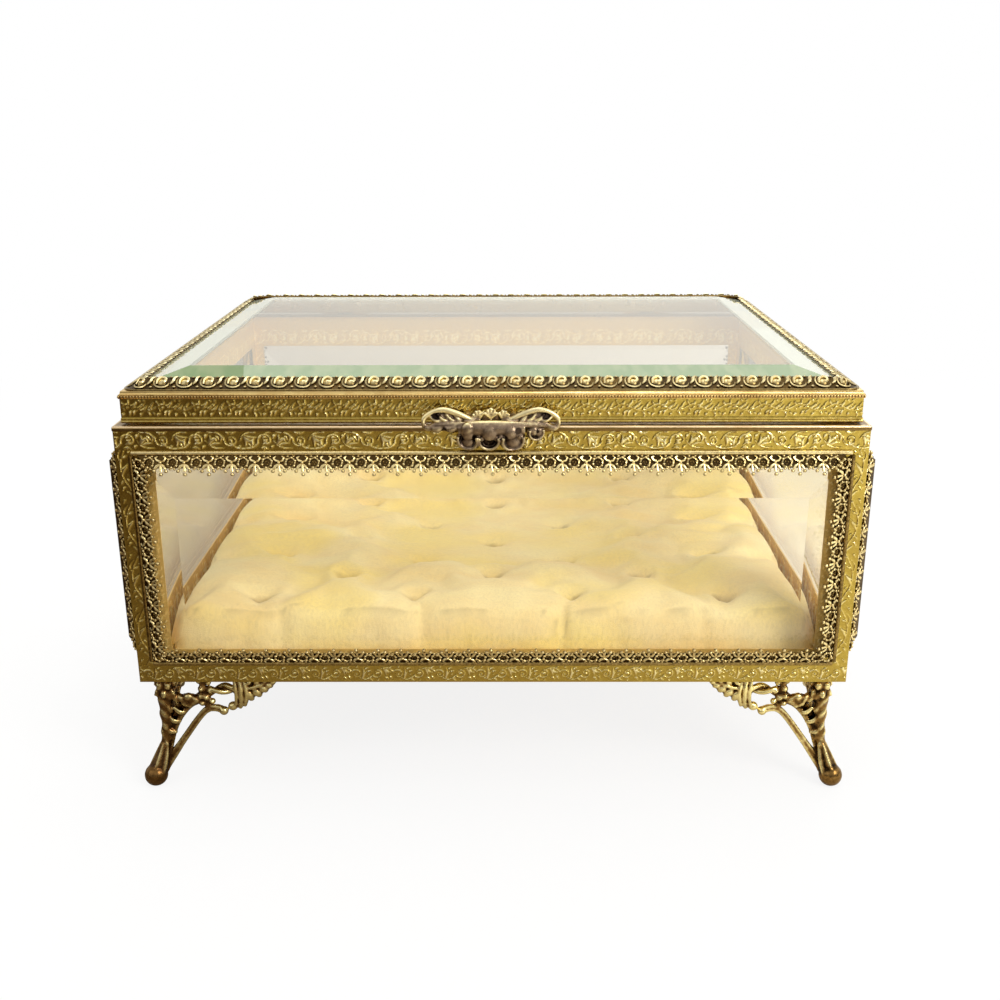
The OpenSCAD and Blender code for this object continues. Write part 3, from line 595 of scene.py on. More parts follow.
@dataclass
class StampedSheet:
    """A sheet on a wall, with a window, whose face is stamped.

    The sheet lies in the wall's axes. Its ground is sunk a little, so that the ridges come out to
    its face, and a twin sheet shows the pattern from both sides, as thin stamped metal does.
    """

    xs: Points
    ys: Points
    window: tuple[float, float, float, float]
    rise: Rise
    face: float
    thickness: float
    height: float = 0.34
    sunk: float = 0.12
    twin: bool = False

    def _cells(self) -> Points:
        """Which grid cells are metal."""
        x0, x1, y0, y1 = self.window
        mx, my = (self.xs[1:] + self.xs[:-1]) / 2, (self.ys[1:] + self.ys[:-1]) / 2
        hole = ((mx > x0) & (mx < x1))[None, :] & ((my > y0) & (my < y1))[:, None]
        return ~hole

    def mesh(self, name: str, wall: Wall) -> Mesh:
        """Makes the closed sheet.

        Args:
            name: Name of the mesh.
            wall: The wall that it lies on.

        Returns:
            The mesh in place, with its relief stored.
        """
        nx, count = len(self.xs), len(self.xs) * len(self.ys)
        gx, gy = np.meshgrid(self.xs, self.ys)
        share = self.rise(gx, gy)
        z = self.face - self.sunk + self.height * share
        j, i = np.nonzero(self._cells())
        a = j * nx + i
        quads = np.stack([a, a + 1, a + 1 + nx, a + nx], 1)
        top = np.stack([gx.ravel(), gy.ravel(), z.ravel()], 1)
        if self.twin:
            under, behind = top - [0, 0, self.thickness], share.ravel()
            faces, others = [quads, quads[:, ::-1] + count], []
        else:
            flat = np.full(count, self.face - self.thickness)
            under, behind = np.stack([gx.ravel(), gy.ravel(), flat], 1), np.zeros(count)
            faces, others = [quads], [[n + count for n in part] for part in self._back()]
        quads = np.concatenate([*faces, self.rims(quads, count)])
        points, relief = np.vstack([top, under]), np.concatenate([share.ravel(), behind])
        used = np.unique(np.concatenate([quads.ravel(), *[np.array(p) for p in others]]).astype(int))
        new = np.full(len(points), -1)
        new[used] = np.arange(len(used))
        mesh = build_mesh(name, wall.put(points[used]), new[quads], [new[np.array(p)] for p in others])
        set_relief(mesh, relief[used])
        return mesh

    @staticmethod
    def rims(quads: Points, count: int) -> Points:
        """Side faces along every edge that only one quad has."""
        edges = np.concatenate([quads[:, [k, (k + 1) % 4]] for k in range(4)])
        key = np.sort(edges, 1)
        _, index, number = np.unique(key, axis=0, return_inverse=True, return_counts=True)[0:3]
        lone = edges[number[index.ravel()] == 1]
        return np.stack([lone[:, 1], lone[:, 0], lone[:, 0] + count, lone[:, 1] + count], 1)

    def _back(self) -> Faces:
        """Four flat faces for the back, mitred from the outer corners to the window's."""
        nx, ny = len(self.xs), len(self.ys)
        i0, i1 = (int(np.argmin(abs(self.xs - x))) for x in self.window[:2])
        j0, j1 = (int(np.argmin(abs(self.ys - y))) for y in self.window[2:])

        def walk(a: int, b: int) -> range:
            """The numbers from one to another, both included, up or down."""
            return range(a, b + 1) if b >= a else range(a, b - 1, -1)

        def row(j: int, a: int, b: int) -> list[int]:
            """Points along a row."""
            return [j * nx + i for i in walk(a, b)]

        def column(i: int, a: int, b: int) -> list[int]:
            """Points along a column."""
            return [j * nx + i for j in walk(a, b)]

        parts = [
            row(0, 0, nx - 1) + row(j0, i1, i0),
            column(nx - 1, 0, ny - 1) + column(i1, j1, j0),
            row(ny - 1, nx - 1, 0) + row(j1, i0, i1),
            column(0, ny - 1, 0) + column(i0, j0, j1),
        ]
        return [part[::-1] for part in parts]


def split_lines(low: float, hole_low: float, hole_high: float, high: float, step: float) -> Points:
    """Grid lines from low to high that meet both edges of a hole."""
    parts = [lines(low, hole_low, step), lines(hole_low, hole_high, step), lines(hole_high, high, step)]
    return np.concatenate([parts[0], parts[1][1:], parts[2][1:]])


def woven(rings: int, sides: int, closed: bool = True) -> Faces:
    """Four-sided faces between rings of points.

    Args:
        rings: Number of rings.
        sides: Number of points in each.
        closed: Whether the last ring meets the first.

    Returns:
        The faces, ring by ring.
    """
    return [
        [a * sides + k, a * sides + (k + 1) % sides, b * sides + (k + 1) % sides, b * sides + k]
        for a, b in ((i, (i + 1) % rings) for i in range(rings if closed else rings - 1))
        for k in range(sides)
    ]


@dataclass
class Shape:
    """A heap of closed forms that grows piece by piece, in millimetres."""

    points: list[Points] = field(default_factory=list)
    faces: Faces = field(default_factory=list)
    count: int = 0

    def add(self, points: Points, faces: Sequence[Sequence[int]]) -> None:
        """Adds one closed form, its faces numbered from its own first point."""
        self.points.append(np.asarray(points, float))
        self.faces += [[n + self.count for n in face] for face in faces]
        self.count += len(points)

    @staticmethod
    def _rings(centre: Points, radius: Points, along: Points, sides: int, flat: float, up: Station) -> Points:
        """Rings of points round the places of a path.

        Args:
            centre: The places.
            radius: Radius at each place.
            along: Direction of the path at each place, of any length.
            sides: Number of points in a ring.
            flat: Thickness along up, as a share of the width.
            up: The direction that the rings are flattened in.

        Returns:
            The points, ring after ring.
        """
        along = along / np.linalg.norm(along, axis=1)[:, None]
        side = np.cross(np.array(up, float), along)
        side /= np.maximum(np.linalg.norm(side, axis=1), 1e-6)[:, None]
        lift = np.cross(along, side)
        angle = 2 * np.pi * np.arange(sides) / sides
        return np.vstack([
            c + r * (np.outer(np.cos(angle), s) + flat * np.outer(np.sin(angle), t))
            for c, r, s, t in zip(centre, radius, side, lift)
        ])

    def tube(
        self,
        stations: Sequence[Station],
        sides: int = 8,
        rings: int = 0,
        flat: float = 1,
        up: Station = (0, 1, 0),
    ) -> None:
        """Adds a closed tube of changing thickness.

        Args:
            stations: Points x, y, z and radius along its middle.
            sides: Number of sides.
            rings: Number of rings along a smooth curve, or 0 to keep the stations as they are.
            flat: Its thickness along up, as a share of its width.
            up: The direction that it is flattened in.
        """
        path = smooth_path(stations, rings) if rings else np.asarray(stations, float)
        centre, radius = path[:, :3], np.maximum(path[:, 3], 0.04)
        points = self._rings(centre, radius, np.gradient(centre, axis=0), sides, flat, up)
        start, last = list(range(sides))[::-1], (len(path) - 1) * sides
        self.add(points, [start, *woven(len(path), sides, False), [last + k for k in range(sides)]])

    def hoop(self, path: Points, radius: float, sides: int = 6, up: Station = (0, 1, 0)) -> None:
        """Adds a closed ring of even thickness round a closed path."""
        along = np.roll(path, -1, axis=0) - np.roll(path, 1, axis=0)
        points = self._rings(path, np.full(len(path), radius), along, sides, 1, up)
        self.add(points, woven(len(path), sides))

    def ball(self, centre: Station, radii: Station, around: int = 10, rows: int = 6) -> None:
        """Adds a rounded form, its poles along Z.

        Args:
            centre: Its middle.
            radii: Its radius along each axis.
            around: Number of points round it.
            rows: Number of rows of faces from pole to pole.
        """
        tilt = np.pi * (np.arange(1, rows) / rows - 0.5)
        turn = 2 * np.pi * np.arange(around) / around
        unit = [(0.0, 0.0, -1.0)]
        unit += [
            (math.cos(t) * math.cos(a), math.cos(t) * math.sin(a), math.sin(t)) for t in tilt for a in turn
        ]
        unit += [(0.0, 0.0, 1.0)]
        last = len(unit) - 1
        faces = [[0, 1 + (k + 1) % around, 1 + k] for k in range(around)]
        faces += [[1 + n for n in face] for face in woven(rows - 1, around, False)]
        faces += [[last, last - around + k, last - around + (k + 1) % around] for k in range(around)]
        self.add(np.array(unit) * np.array(radii) + np.array(centre), faces)

    def block(self, low: Station, high: Station) -> None:
        """Adds a plain block, which only ever lies inside or behind other forms."""
        x, y, z = zip(low, high)
        points = [(a, b, c) for c in z for b in y for a in x]
        faces = [[0, 2, 3, 1], [4, 5, 7, 6], [0, 1, 5, 4], [2, 6, 7, 3], [0, 4, 6, 2], [1, 3, 7, 5]]
        self.add(np.array(points, float), faces)

    def leaf(self, stations: Sequence[Station], thick: float, up: Sequence[float], rings: int = 9) -> None:
        """Adds a leaf: a flattened tube with a raised vein.

        Args:
            stations: Points x, y, z and half width along its middle.
            thick: Half its thickness as a share of its half width.
            up: The direction that it is flattened in.
            rings: Number of rings along it.
        """
        self.tube(stations, 8, rings, thick, up)
        lift = np.array(up, float) * thick * max(s[3] for s in stations) * 0.55
        vein = [(*(np.array(s[:3]) + lift), 0.16 * s[3] + 0.12) for s in stations]
        self.tube(vein, 5, rings, 1, up)

    def extend(self, other: "Shape", matrix: Matrix) -> None:
        """Adds a moved or mirrored copy of another heap."""
        m = np.array(matrix)
        flip = np.linalg.det(m[:3, :3]) < 0
        points = np.vstack(other.points) @ m[:3, :3].T + m[:3, 3]
        self.add(points, [face[::-1] if flip else face for face in other.faces])

    def mesh(self, name: str, scale: float = 1) -> Mesh:
        """Makes the mesh, in metres, or in millimetres with a scale of 1000."""
        four = [f for f in self.faces if len(f) == 4]
        rest = [f for f in self.faces if len(f) != 4]
        return build_mesh(name, np.vstack(self.points) * scale, np.array(four), rest)


def fused(shape: Shape, name: str, voxel: float, rounds: int) -> Mesh:
    """Melts a heap of forms into one closed casting.

    Args:
        shape: The heap, in millimetres.
        name: Name of the mesh.
        voxel: Size of the remesher's cells.
        rounds: How often the result is smoothed.

    Returns:
        The mesh, still in millimetres.
    """
    rough = new_object(name + "_rough", shape.mesh(name, 1 / MM))
    melt = rough.modifiers.new("melt", "REMESH")
    melt.mode = "VOXEL"
    melt.voxel_size = voxel
    ease = rough.modifiers.new("ease", "SMOOTH")
    ease.factor = 0.5
    ease.iterations = rounds
    mesh = evaluated_mesh(rough)
    mesh.name = name
    return mesh


def evaluated_mesh(piece: Object) -> Mesh:
    """Turns an object with live modifiers into a plain mesh, and removes the object."""
    graph = bpy.context.evaluated_depsgraph_get()
    mesh = bpy.data.meshes.new_from_object(
        piece.evaluated_get(graph), preserve_all_data_layers=True, depsgraph=graph
    )
    old = piece.data
    bpy.data.objects.remove(piece)
    if old.users == 0:
        bpy.data.meshes.remove(old)
    return mesh


def neighbour_mean(values: Points, edges: Points, degree: Points) -> Points:
    """The mean of each point's neighbours."""
    total = np.zeros_like(values)
    for k in range(values.shape[1]):
        total[:, k] = np.bincount(edges[:, 0], values[edges[:, 1], k], len(values))
        total[:, k] += np.bincount(edges[:, 1], values[edges[:, 0], k], len(values))
    return total / degree[:, None]


def worn_relief(
    mesh: Mesh, reach: int, height: float, pockets: Sequence[tuple[Station, float, float]] = ()
) -> None:
    """Finds a casting's ridges and hollows and stores them as its relief: bright on rubbed ridges, and dark
    in hollows from patina and painted shade.

    Args:
        mesh: The casting, in millimetres.
        reach: How many rounds of smoothing give the surface that a ridge stands out of.
        height: Height above that surface at which the metal is fully bright.
        pockets: Round places that are darkened further, each with its middle, radius, and the brightness left
            in it.
    """
    edges = np.empty(len(mesh.edges) * 2, np.int32)
    mesh.edges.foreach_get("vertices", edges)
    edges = edges.reshape(-1, 2)
    points = mesh_points(mesh)
    degree = np.maximum(np.bincount(edges.ravel(), minlength=len(points)), 1).astype(float)
    normals = np.empty(len(points) * 3, np.float32)
    mesh.vertex_normals.foreach_get("vector", normals)
    ground = points
    for _ in range(reach):
        ground = neighbour_mean(ground, edges, degree)
    out = ((points - ground) * normals.reshape(-1, 3)).sum(1)
    for _ in range(2):
        out = neighbour_mean(out[:, None], edges, degree)[:, 0]
    worn = 0.5 + 0.5 * out / height
    for centre, radius, left in pockets:
        far = np.linalg.norm(points - centre, axis=1)
        worn *= left + (1 - left) * ramp(far, 0.75 * radius, 1.2 * radius)
    set_relief(mesh, worn)


class Tree:
    """A node tree that is built by kind and socket name."""

    def __init__(self, tree: bpy.types.NodeTree) -> None:
        """Wraps a tree."""
        self.tree = tree

    def add(self, kind: str, **settings: object) -> Node:
        """Adds a node and sets its properties."""
        node = self.tree.nodes.new(kind)
        for key, value in settings.items():
            setattr(node, key, value)
        return node

    def feed(self, target: Socket, value: object) -> None:
        """Links a socket to another one, or gives it a value, where a colour comes without its alpha."""
        if isinstance(value, Socket):
            self.tree.links.new(value, target)
        else:
            target.default_value = (*value, 1) if target.type == "RGBA" else value

    def set(self, node: Node, **values: object) -> Node:
        """Feeds a node's sockets by name; an underscore in a name stands for a space."""
        for key, value in values.items():
            self.feed(node.inputs[key.replace("_", " ")], value)
        return node

    def ramp(self, source: Socket, stops: Sequence[tuple[float, Sequence[float]]]) -> Socket:
        """Colours for a value.

        Args:
            source: The value.
            stops: Pairs of a place and a colour.

        Returns:
            The colour.
        """
        node = self.add("ShaderNodeValToRGB")
        ends = node.color_ramp.elements
        while len(ends) < len(stops):
            ends.new(0.5)
        for end, (place, colour) in zip(ends, stops):
            end.position = place
            end.color = (*colour, 1)
        self.feed(node.inputs[0], source)
        return node.outputs[0]

    def span(self, source: Socket, low: float, high: float, start: float, end: float) -> Socket:
        """Maps a value from low and high to start and end, without passing either."""
        node = self.add("ShaderNodeMapRange")
        return self.set(node, Value=source, From_Min=low, From_Max=high, To_Min=start, To_Max=end).outputs[0]

    def math(self, kind: str, a: Socket, b: Socket | float) -> Socket:
        """One sum of two values."""
        node = self.add("ShaderNodeMath", operation=kind)
        self.feed(node.inputs[0], a)
        self.feed(node.inputs[1], b)
        return node.outputs[0]

    def mix(self, share: Socket | float, a: object, b: object, blend: str = "MIX") -> Socket:
        """Mixes two colours, each a socket or a colour."""
        node = self.add("ShaderNodeMix", data_type="RGBA", blend_type=blend)
        for place, value in ((0, share), (6, a), (7, b)):
            self.feed(node.inputs[place], value)
        return node.outputs[2]

    def axes(self, source: Socket) -> Sequence[Socket]:
        """A vector's three numbers."""
        return self.set(self.add("ShaderNodeSeparateXYZ"), Vector=source).outputs

    def blend(self, share: Socket, a: Node, b: Node) -> Node:
        """Mixes two shaders."""
        node = self.add("ShaderNodeMixShader")
        for place, value in enumerate((share, a.outputs[0], b.outputs[0])):
            self.feed(node.inputs[place], value)
        return node


class Surface(Tree):
    """A material's node tree with the usual helpers for patterns on object coordinates."""

    def __init__(self, name: str) -> None:
        """Starts an empty material with a principled shader."""
        self.material = bpy.data.materials.new(name)
        self.material.use_nodes = True
        super().__init__(self.material.node_tree)
        self.tree.nodes.clear()
        self.out = self.add("ShaderNodeOutputMaterial")
        self.shader = self.add("ShaderNodeBsdfPrincipled")
        self.set(self.out, Surface=self.shader.outputs[0])
        self.place = self.add("ShaderNodeTexCoord").outputs["Object"]

    def worn(self) -> Socket:
        """The stored relief."""
        return self.add("ShaderNodeAttribute", attribute_name=RELIEF).outputs["Fac"]

    def noise(
        self, cell: float, detail: float = 2, roughness: float = 0.5, stretch: Station = (1, 1, 1)
    ) -> Socket:
        """Noise on the object's own coordinates.

        Args:
            cell: About how many millimetres wide its cells are.
            detail: How many finer layers it has.
            roughness: How strong the finer layers are.
            stretch: How much finer it is along each axis.

        Returns:
            Its value.
        """
        place = self.place
        if tuple(stretch) != (1, 1, 1):
            place = self.set(self.add("ShaderNodeMapping"), Scale=stretch, Vector=place).outputs[0]
        node = self.add("ShaderNodeTexNoise")
        self.set(node, Vector=place, Scale=1 / (cell * MM), Detail=detail, Roughness=roughness)
        return node.outputs["Fac"]

    def bump(self, height: Socket, depth: float) -> None:
        """Presses a height, from 0 to 1, into the surface, at most depth millimetres deep."""
        node = self.set(self.add("ShaderNodeBump"), Distance=depth * MM, Strength=1, Height=height)
        self.set(self.shader, Normal=node.outputs[0])


@dataclass(frozen=True)
class GiltFinish:
    """Gilt brass: bright where it is rubbed, brown in the hollows from patina and painted shade, clouded with
    tarnish, and darkened towards the left by painted shade.
    """

    name: str
    bright: Colour
    body: Colour
    hollow: Colour
    tarnish: Colour = (0.24, 0.14, 0.03)
    clouds: float = 14
    cloud_share: float = 0.4
    stops: tuple[float, float, float] = (0.02, 0.42, 0.85)
    shine: tuple[float, float] = (0.24, 0.42)
    grain: float = 0.35
    grain_depth: float = 0.02
    has_relief: bool = True
    # How much painted shade darkens the metal towards the left of the casket, where less light falls.
    dark_left: float = 0
    mottle: float = 0.12
    metal: float = 1.0

    def material(self) -> Material:
        """Builds the material."""
        s = Surface(self.name)
        if self.has_relief:
            specks = s.span(s.noise(1.0, 3, 0.65), 0.25, 0.75, -self.mottle, self.mottle)
            stops = list(zip(self.stops, (self.hollow, self.body, self.bright)))
            metal = s.ramp(s.math("ADD", s.worn(), specks), stops)
        else:
            metal = s.ramp(s.noise(4, 3), [(0.3, self.body), (0.75, self.bright)])
        tarnish_and_shade = s.span(s.noise(self.clouds, 4, 0.6), 0.42, 0.72, 0, self.cloud_share)
        # Painted shade: towards the left of the casket the metal turns to the tarnish colour, as less light
        # falls there.
        if self.dark_left:
            tarnish_and_shade = s.math("MAXIMUM", tarnish_and_shade, s.span(s.axes(s.place)[0], -0.1, 0.05, self.dark_left, 0))
        shine = s.span(s.noise(2.2, 3), 0.3, 0.7, *self.shine)
        s.set(s.shader, Base_Color=s.mix(tarnish_and_shade, metal, self.tarnish), Roughness=shine, Metallic=self.metal)
        s.bump(s.noise(self.grain, 2, 0.6), self.grain_depth)
        return s.material


@dataclass(frozen=True)
class BevelGlow:
    """Where a pane's bevels lie, and how much painted glow each gets: a diffuse share standing in for the
    light that thick glass carries along and reflects at its edges.
    """

    half: float
    front: float
    rear: float
    wide: float = 11.2
    soft: float = 0.3
    greens: tuple[Colour, Colour] = ((0.20, 0.30, 0.13), (0.27, 0.35, 0.17))
    grey: Colour = (0.72, 0.78, 0.68)
    front_share: float = 0.88
    rear_share: float = 0.5
    side_share: float = 0.3

    def bevel(self, s: Surface, reach: Socket, aside: Socket) -> Socket:
        """Finds a mitred bevel at the front or the rear.

        Args:
            s: The glass's surface.
            reach: Distance to the bevel's edge of the pane.
            aside: Distance to the nearer side of the pane.

        Returns:
            One on the bevel, zero elsewhere.
        """
        near = s.span(reach, self.wide * MM, (self.wide + self.soft) * MM, 1, 0)
        mitre = s.span(s.math("SUBTRACT", reach, aside), -self.soft * MM, 0, 1, 0)
        return s.math("MULTIPLY", near, mitre)

    def add(self, s: Surface, tint: Colour) -> None:
        """Paints a glow into the bevels of a glass as a diffuse share, green at the front and grey elsewhere.

        Args:
            s: The glass's surface.
            tint: Colour of the clear glass.
        """
        x, y, _ = s.axes(s.place)
        half, front, rear = self.half * MM, self.front * MM, self.rear * MM
        aside = s.span(s.math("ABSOLUTE", x, 0), 0, half, half, 0)
        at_front = self.bevel(s, s.span(y, front, rear, 0, rear - front), aside)
        at_rear = self.bevel(s, s.span(y, front, rear, rear - front, 0), aside)
        beside = s.span(aside, self.wide * MM, (self.wide + self.soft) * MM, 1, 0)
        at_side = s.math("SUBTRACT", beside, s.math("ADD", at_front, at_rear))
        streak = s.span(s.noise(5, 2, 0.5, (1, 0.3, 1)), 0.42, 0.6, 0, 1)
        green = s.mix(at_front, tint, s.mix(streak, *self.greens))
        colour = s.mix(s.math("MAXIMUM", at_rear, at_side), green, self.grey)
        shares = ((at_front, self.front_share), (at_rear, self.rear_share), (at_side, self.side_share))
        first, second, third = (s.span(place, 0, 1, 0, share) for place, share in shares)
        clear = s.span(s.math("ADD", s.math("ADD", first, second), third), 0, 1, 1, 0)
        s.set(s.shader, Base_Color=colour, Transmission_Weight=clear)


@dataclass(frozen=True)
class GlassFinish:
    """Old plate glass with a faint tint, that lets the lamps' light through."""

    name: str
    tint: Colour = (0.99, 0.985, 0.965)
    glow: BevelGlow | None = None
    index: float = 1.5

    def material(self) -> Material:
        """Builds the material."""
        s = Surface(self.name)
        s.set(s.shader, Base_Color=self.tint, Roughness=0.0, IOR=self.index, Transmission_Weight=1.0)
        if self.glow:
            self.glow.add(s, self.tint)
        through = s.set(s.add("ShaderNodeBsdfTransparent"), Color=self.tint)
        shadow = s.add("ShaderNodeLightPath").outputs["Is Shadow Ray"]
        s.set(s.out, Surface=s.blend(shadow, s.shader, through).outputs[0])
        return s.material


@dataclass(frozen=True)
class VelvetFinish:
    """Faded velvet: a short pile with a sheen, yellower in patches, and darkest in its creases, where shade
    is painted in.
    """

    name: str
    pile: Colour = (0.96, 0.73, 0.33)
    light: Colour = (1.0, 0.84, 0.45)
    fold: Colour = (1.0, 0.78, 0.24)
    crease: Colour = (0.34, 0.23, 0.10)
    speck: Colour = (0.62, 0.48, 0.26)
    sheen: Colour = (1.0, 0.92, 0.78)

    def material(self) -> Material:
        """Builds the material."""
        s = Surface(self.name)
        brushed = s.mix(s.span(s.noise(16, 3, 0.6, (0.5, 1, 1)), 0.35, 0.65, 0, 1), self.pile, self.light)
        pooled = s.mix(s.span(s.noise(24, 2, 0.5, (0.6, 1, 1)), 0.45, 0.62, 0, 0.7), brushed, self.fold)
        # Painted shade: the stored brightness pulls the velvet towards a dark brown along its creases.
        creased = s.mix(s.span(s.worn(), 0.0, 0.8, 0.85, 0), pooled, self.crease)
        specked = s.mix(s.span(s.noise(0.7, 2, 0.7, (1, 1, 0.4)), 0.4, 0.75, 0, 0.3), creased, self.speck)
        s.set(s.shader, Base_Color=specked, Roughness=0.9, Sheen_Weight=0.25, Sheen_Roughness=0.45)
        s.set(s.shader, Sheen_Tint=self.sheen)
        s.bump(s.math("ADD", s.noise(0.35, 2, 0.7), s.noise(2.4, 2, 0.5)), 0.16)
        return s.material


@dataclass(frozen=True)
class BoardFinish:
    """Pressed paper board with short fibres."""

    name: str
    light: Colour = (0.42, 0.32, 0.20)
    dark: Colour = (0.24, 0.17, 0.10)

    def material(self) -> Material:
        """Builds the material."""
        s = Surface(self.name)
        fibre = s.noise(0.8, 4, 0.7, (1, 5, 1))
        s.set(s.shader, Base_Color=s.ramp(fibre, [(0.3, self.dark), (0.7, self.light)]), Roughness=0.92)
        s.bump(fibre, 0.08)
        return s.material


@dataclass(frozen=True)
class FloorFinish:
    """A plain pale table top that glows white to the camera, more fully in the distance. In reflections it
    shows painted light, dark on the left and bright on the right; seen through glass it gives a warm grey
    painted glow; in other light it is a warm tan.
    """

    name: str
    colour: Colour = (0.88, 0.88, 0.87)
    beyond: Colour = (0.82, 0.70, 0.53)
    through: Colour = (0.74, 0.67, 0.57)
    through_share: tuple[float, float] = (0.3, 0.95)
    mirrored: tuple[Colour, Colour, Colour] = ((0.12, 0.085, 0.05), (0.54, 0.47, 0.36), (1.0, 0.99, 0.90))
    fade: tuple[float, float] = (0.1, 0.6)
    white_share: float = 0.85

    def material(self) -> Material:
        """Builds the material."""
        s = Surface(self.name)
        path = s.add("ShaderNodeLightPath").outputs
        seen, passed = path["Is Camera Ray"], path["Is Transmission Ray"]
        # Painted light in reflections: the floor runs from dark on the left to bright on the right, as if
        # more light fell on its right.
        across = s.span(s.axes(s.place)[0], -0.2, 0.2, 0, 1)
        mirrored = s.ramp(across, list(zip((0, 0.5, 1), self.mirrored)))
        unseen = s.mix(path["Is Glossy Ray"], self.beyond, mirrored)
        s.set(s.shader, Base_Color=s.mix(seen, unseen, self.colour), Roughness=0.8, Specular_IOR_Level=0.0)
        reach = s.add("ShaderNodeVectorMath", operation="LENGTH")
        s.feed(reach.inputs[0], s.place)
        reach = reach.outputs["Value"]
        far = s.math("MULTIPLY", s.span(reach, *self.fade, self.white_share, 1), seen)
        # Painted glow: seen through glass, the floor glows in a warm grey, more so in the distance.
        dim = s.math("MULTIPLY", s.span(reach, *self.fade, *self.through_share), passed)
        white = s.set(s.add("ShaderNodeEmission"), Color=s.mix(passed, (1, 1, 1), self.through))
        s.set(s.out, Surface=s.blend(s.math("MAXIMUM", far, dim), s.shader, white).outputs[0])
        return s.material


class Finishes:
    """Every finish of the casket, built once."""

    def __init__(self) -> None:
        """Builds the materials."""
        # Several metals take painted shade that darkens them towards the left.
        self.sheet = GiltFinish(
            "gilt_sheet", (1.0, 0.90, 0.52), (0.70, 0.53, 0.14), (0.46, 0.33, 0.065),
            shine=(0.16, 0.30), stops=(0.02, 0.35, 0.85), dark_left=0.42, cloud_share=0.25, mottle=0.28,
        ).material()
        self.liner = GiltFinish(
            "liner_sheet", (1.0, 0.90, 0.54), (0.94, 0.68, 0.24), (0.72, 0.48, 0.15), shine=(0.3, 0.44),
            metal=0.4, cloud_share=0.12,
        ).material()
        self.edging = GiltFinish(
            "edging_strip", (1.0, 0.84, 0.44), (0.42, 0.29, 0.10), (0.05, 0.03, 0.012),
            shine=(0.2, 0.34), stops=(0.08, 0.5, 0.95), dark_left=0.3, mottle=0.24,
        ).material()
        self.gallery = GiltFinish(
            "gallery_strip", (0.98, 0.84, 0.46), (0.34, 0.25, 0.10), (0.045, 0.03, 0.014),
            stops=(0.1, 0.5, 0.95), shine=(0.22, 0.36), mottle=0.2,
        ).material()
        self.smooth = GiltFinish(
            "gilt_moulding", (0.92, 0.70, 0.30), (0.74, 0.50, 0.19), (0.3, 0.2, 0.06),
            has_relief=False, grain_depth=0.008, dark_left=0.25,
        ).material()
        self.rim = GiltFinish(
            "rim_moulding", (0.95, 0.74, 0.48), (0.46, 0.32, 0.12), (0.20, 0.12, 0.045), dark_left=0.3,
        ).material()
        self.cast = GiltFinish(
            "cast_feet", (1.0, 0.86, 0.40), (0.30, 0.17, 0.05), (0.018, 0.009, 0.003),
            tarnish=(0.12, 0.055, 0.02), clouds=9, dark_left=0.45, cloud_share=0.35, stops=(0.25, 0.5, 0.8),
            grain=0.5, grain_depth=0.03, shine=(0.16, 0.3),
        ).material()
        self.pull = GiltFinish(
            "worn_pull", (1.0, 0.86, 0.48), (0.30, 0.215, 0.14), (0.018, 0.011, 0.007),
            tarnish=(0.21, 0.15, 0.115), clouds=5, stops=(0.15, 0.5, 0.85), shine=(0.24, 0.4),
            grain_depth=0.03,
        ).material()
        self.beads = GiltFinish(
            "bead_row", (0.98, 0.78, 0.36), (0.55, 0.36, 0.13), (0.10, 0.05, 0.02), stops=(0.05, 0.45, 0.9),
        ).material()
        self.fixing = GiltFinish(
            "fixings", (0.80, 0.62, 0.34), (0.50, 0.37, 0.16), (0.2, 0.14, 0.06), has_relief=False, clouds=3,
        ).material()
        self.wall_glass = GlassFinish("wall_glass").material()
        pane = Span.of("lid_glass")
        glow = BevelGlow(pane.high.x, pane.low.y, pane.high.y)
        self.lid_glass = GlassFinish("lid_glass", (0.98, 0.985, 0.97), glow).material()
        self.velvet = VelvetFinish("cushion_velvet").material()
        self.board = BoardFinish("paper_board").material()
        self.floor = FloorFinish("table_top").material()


@dataclass
class Frames:
    """The four stamped wall plates."""

    casket: Casket
    finishes: Finishes
    post: float = 6.9
    low_rail: float = 7.2
    top_rail: float = 9.4
    bright_post: float = 4.7
    low_band: float = 5.2
    top_band: float = 69.4
    top_gap: float = 0.5
    pitch: float = 18.4
    step: float = 0.23
    coarse_step: float = 0.31
    side_short: float = 0.85

    def rise(self, half: float) -> Rise:
        """The pattern of a plate: broad scrolls above, stems up the posts, small scrolls below."""
        tall = self.casket.frame_h
        broad = running_scrolls(2 * half, tall - self.top_band - self.top_gap, self.pitch)
        small = small_scrolls(2 * half, self.low_band - 0.5, 11.9)
        stems = long_stems(self.top_band - self.low_band, self.bright_post - 0.4, 16)

        def pattern(x: Points, y: Points) -> Points:
            """Height of the pattern at places on the plate."""
            over = broad.sample(x + half, y - self.top_band)
            under = small.sample(x + half, y - 0.4)
            upright = stems.sample(y - self.low_band, half - abs(x) - 0.3)
            height = np.where(y > self.top_band, over, np.where(y < self.low_band, under, upright))
            edge = np.minimum(np.minimum(half - abs(x), y), tall - y)
            return height * ramp(edge, 0.05, 0.45)

        return pattern

    def build(self) -> None:
        """Builds a plate for each wall."""
        for side in Side:
            wall = self.casket.wall(side)
            node = f"{side.word}_frame"
            half = wall.half if side.long else wall.half - self.side_short
            inner = wall.half - self.post
            high = self.casket.frame_h - self.top_rail
            step = self.step if side is Side.FRONT else self.coarse_step
            sheet = StampedSheet(
                xs=split_lines(-half, -inner, inner, half, step),
                ys=split_lines(0, self.low_rail, high, self.casket.frame_h, step),
                window=(-inner, inner, self.low_rail, high),
                rise=self.rise(half),
                face=0,
                thickness=0.8,
            )
            mesh = sheet.mesh(node, wall)
            dress(mesh, self.finishes.sheet)
            add_piece(f"{side.word}_wall_plate", mesh, "base", [node])


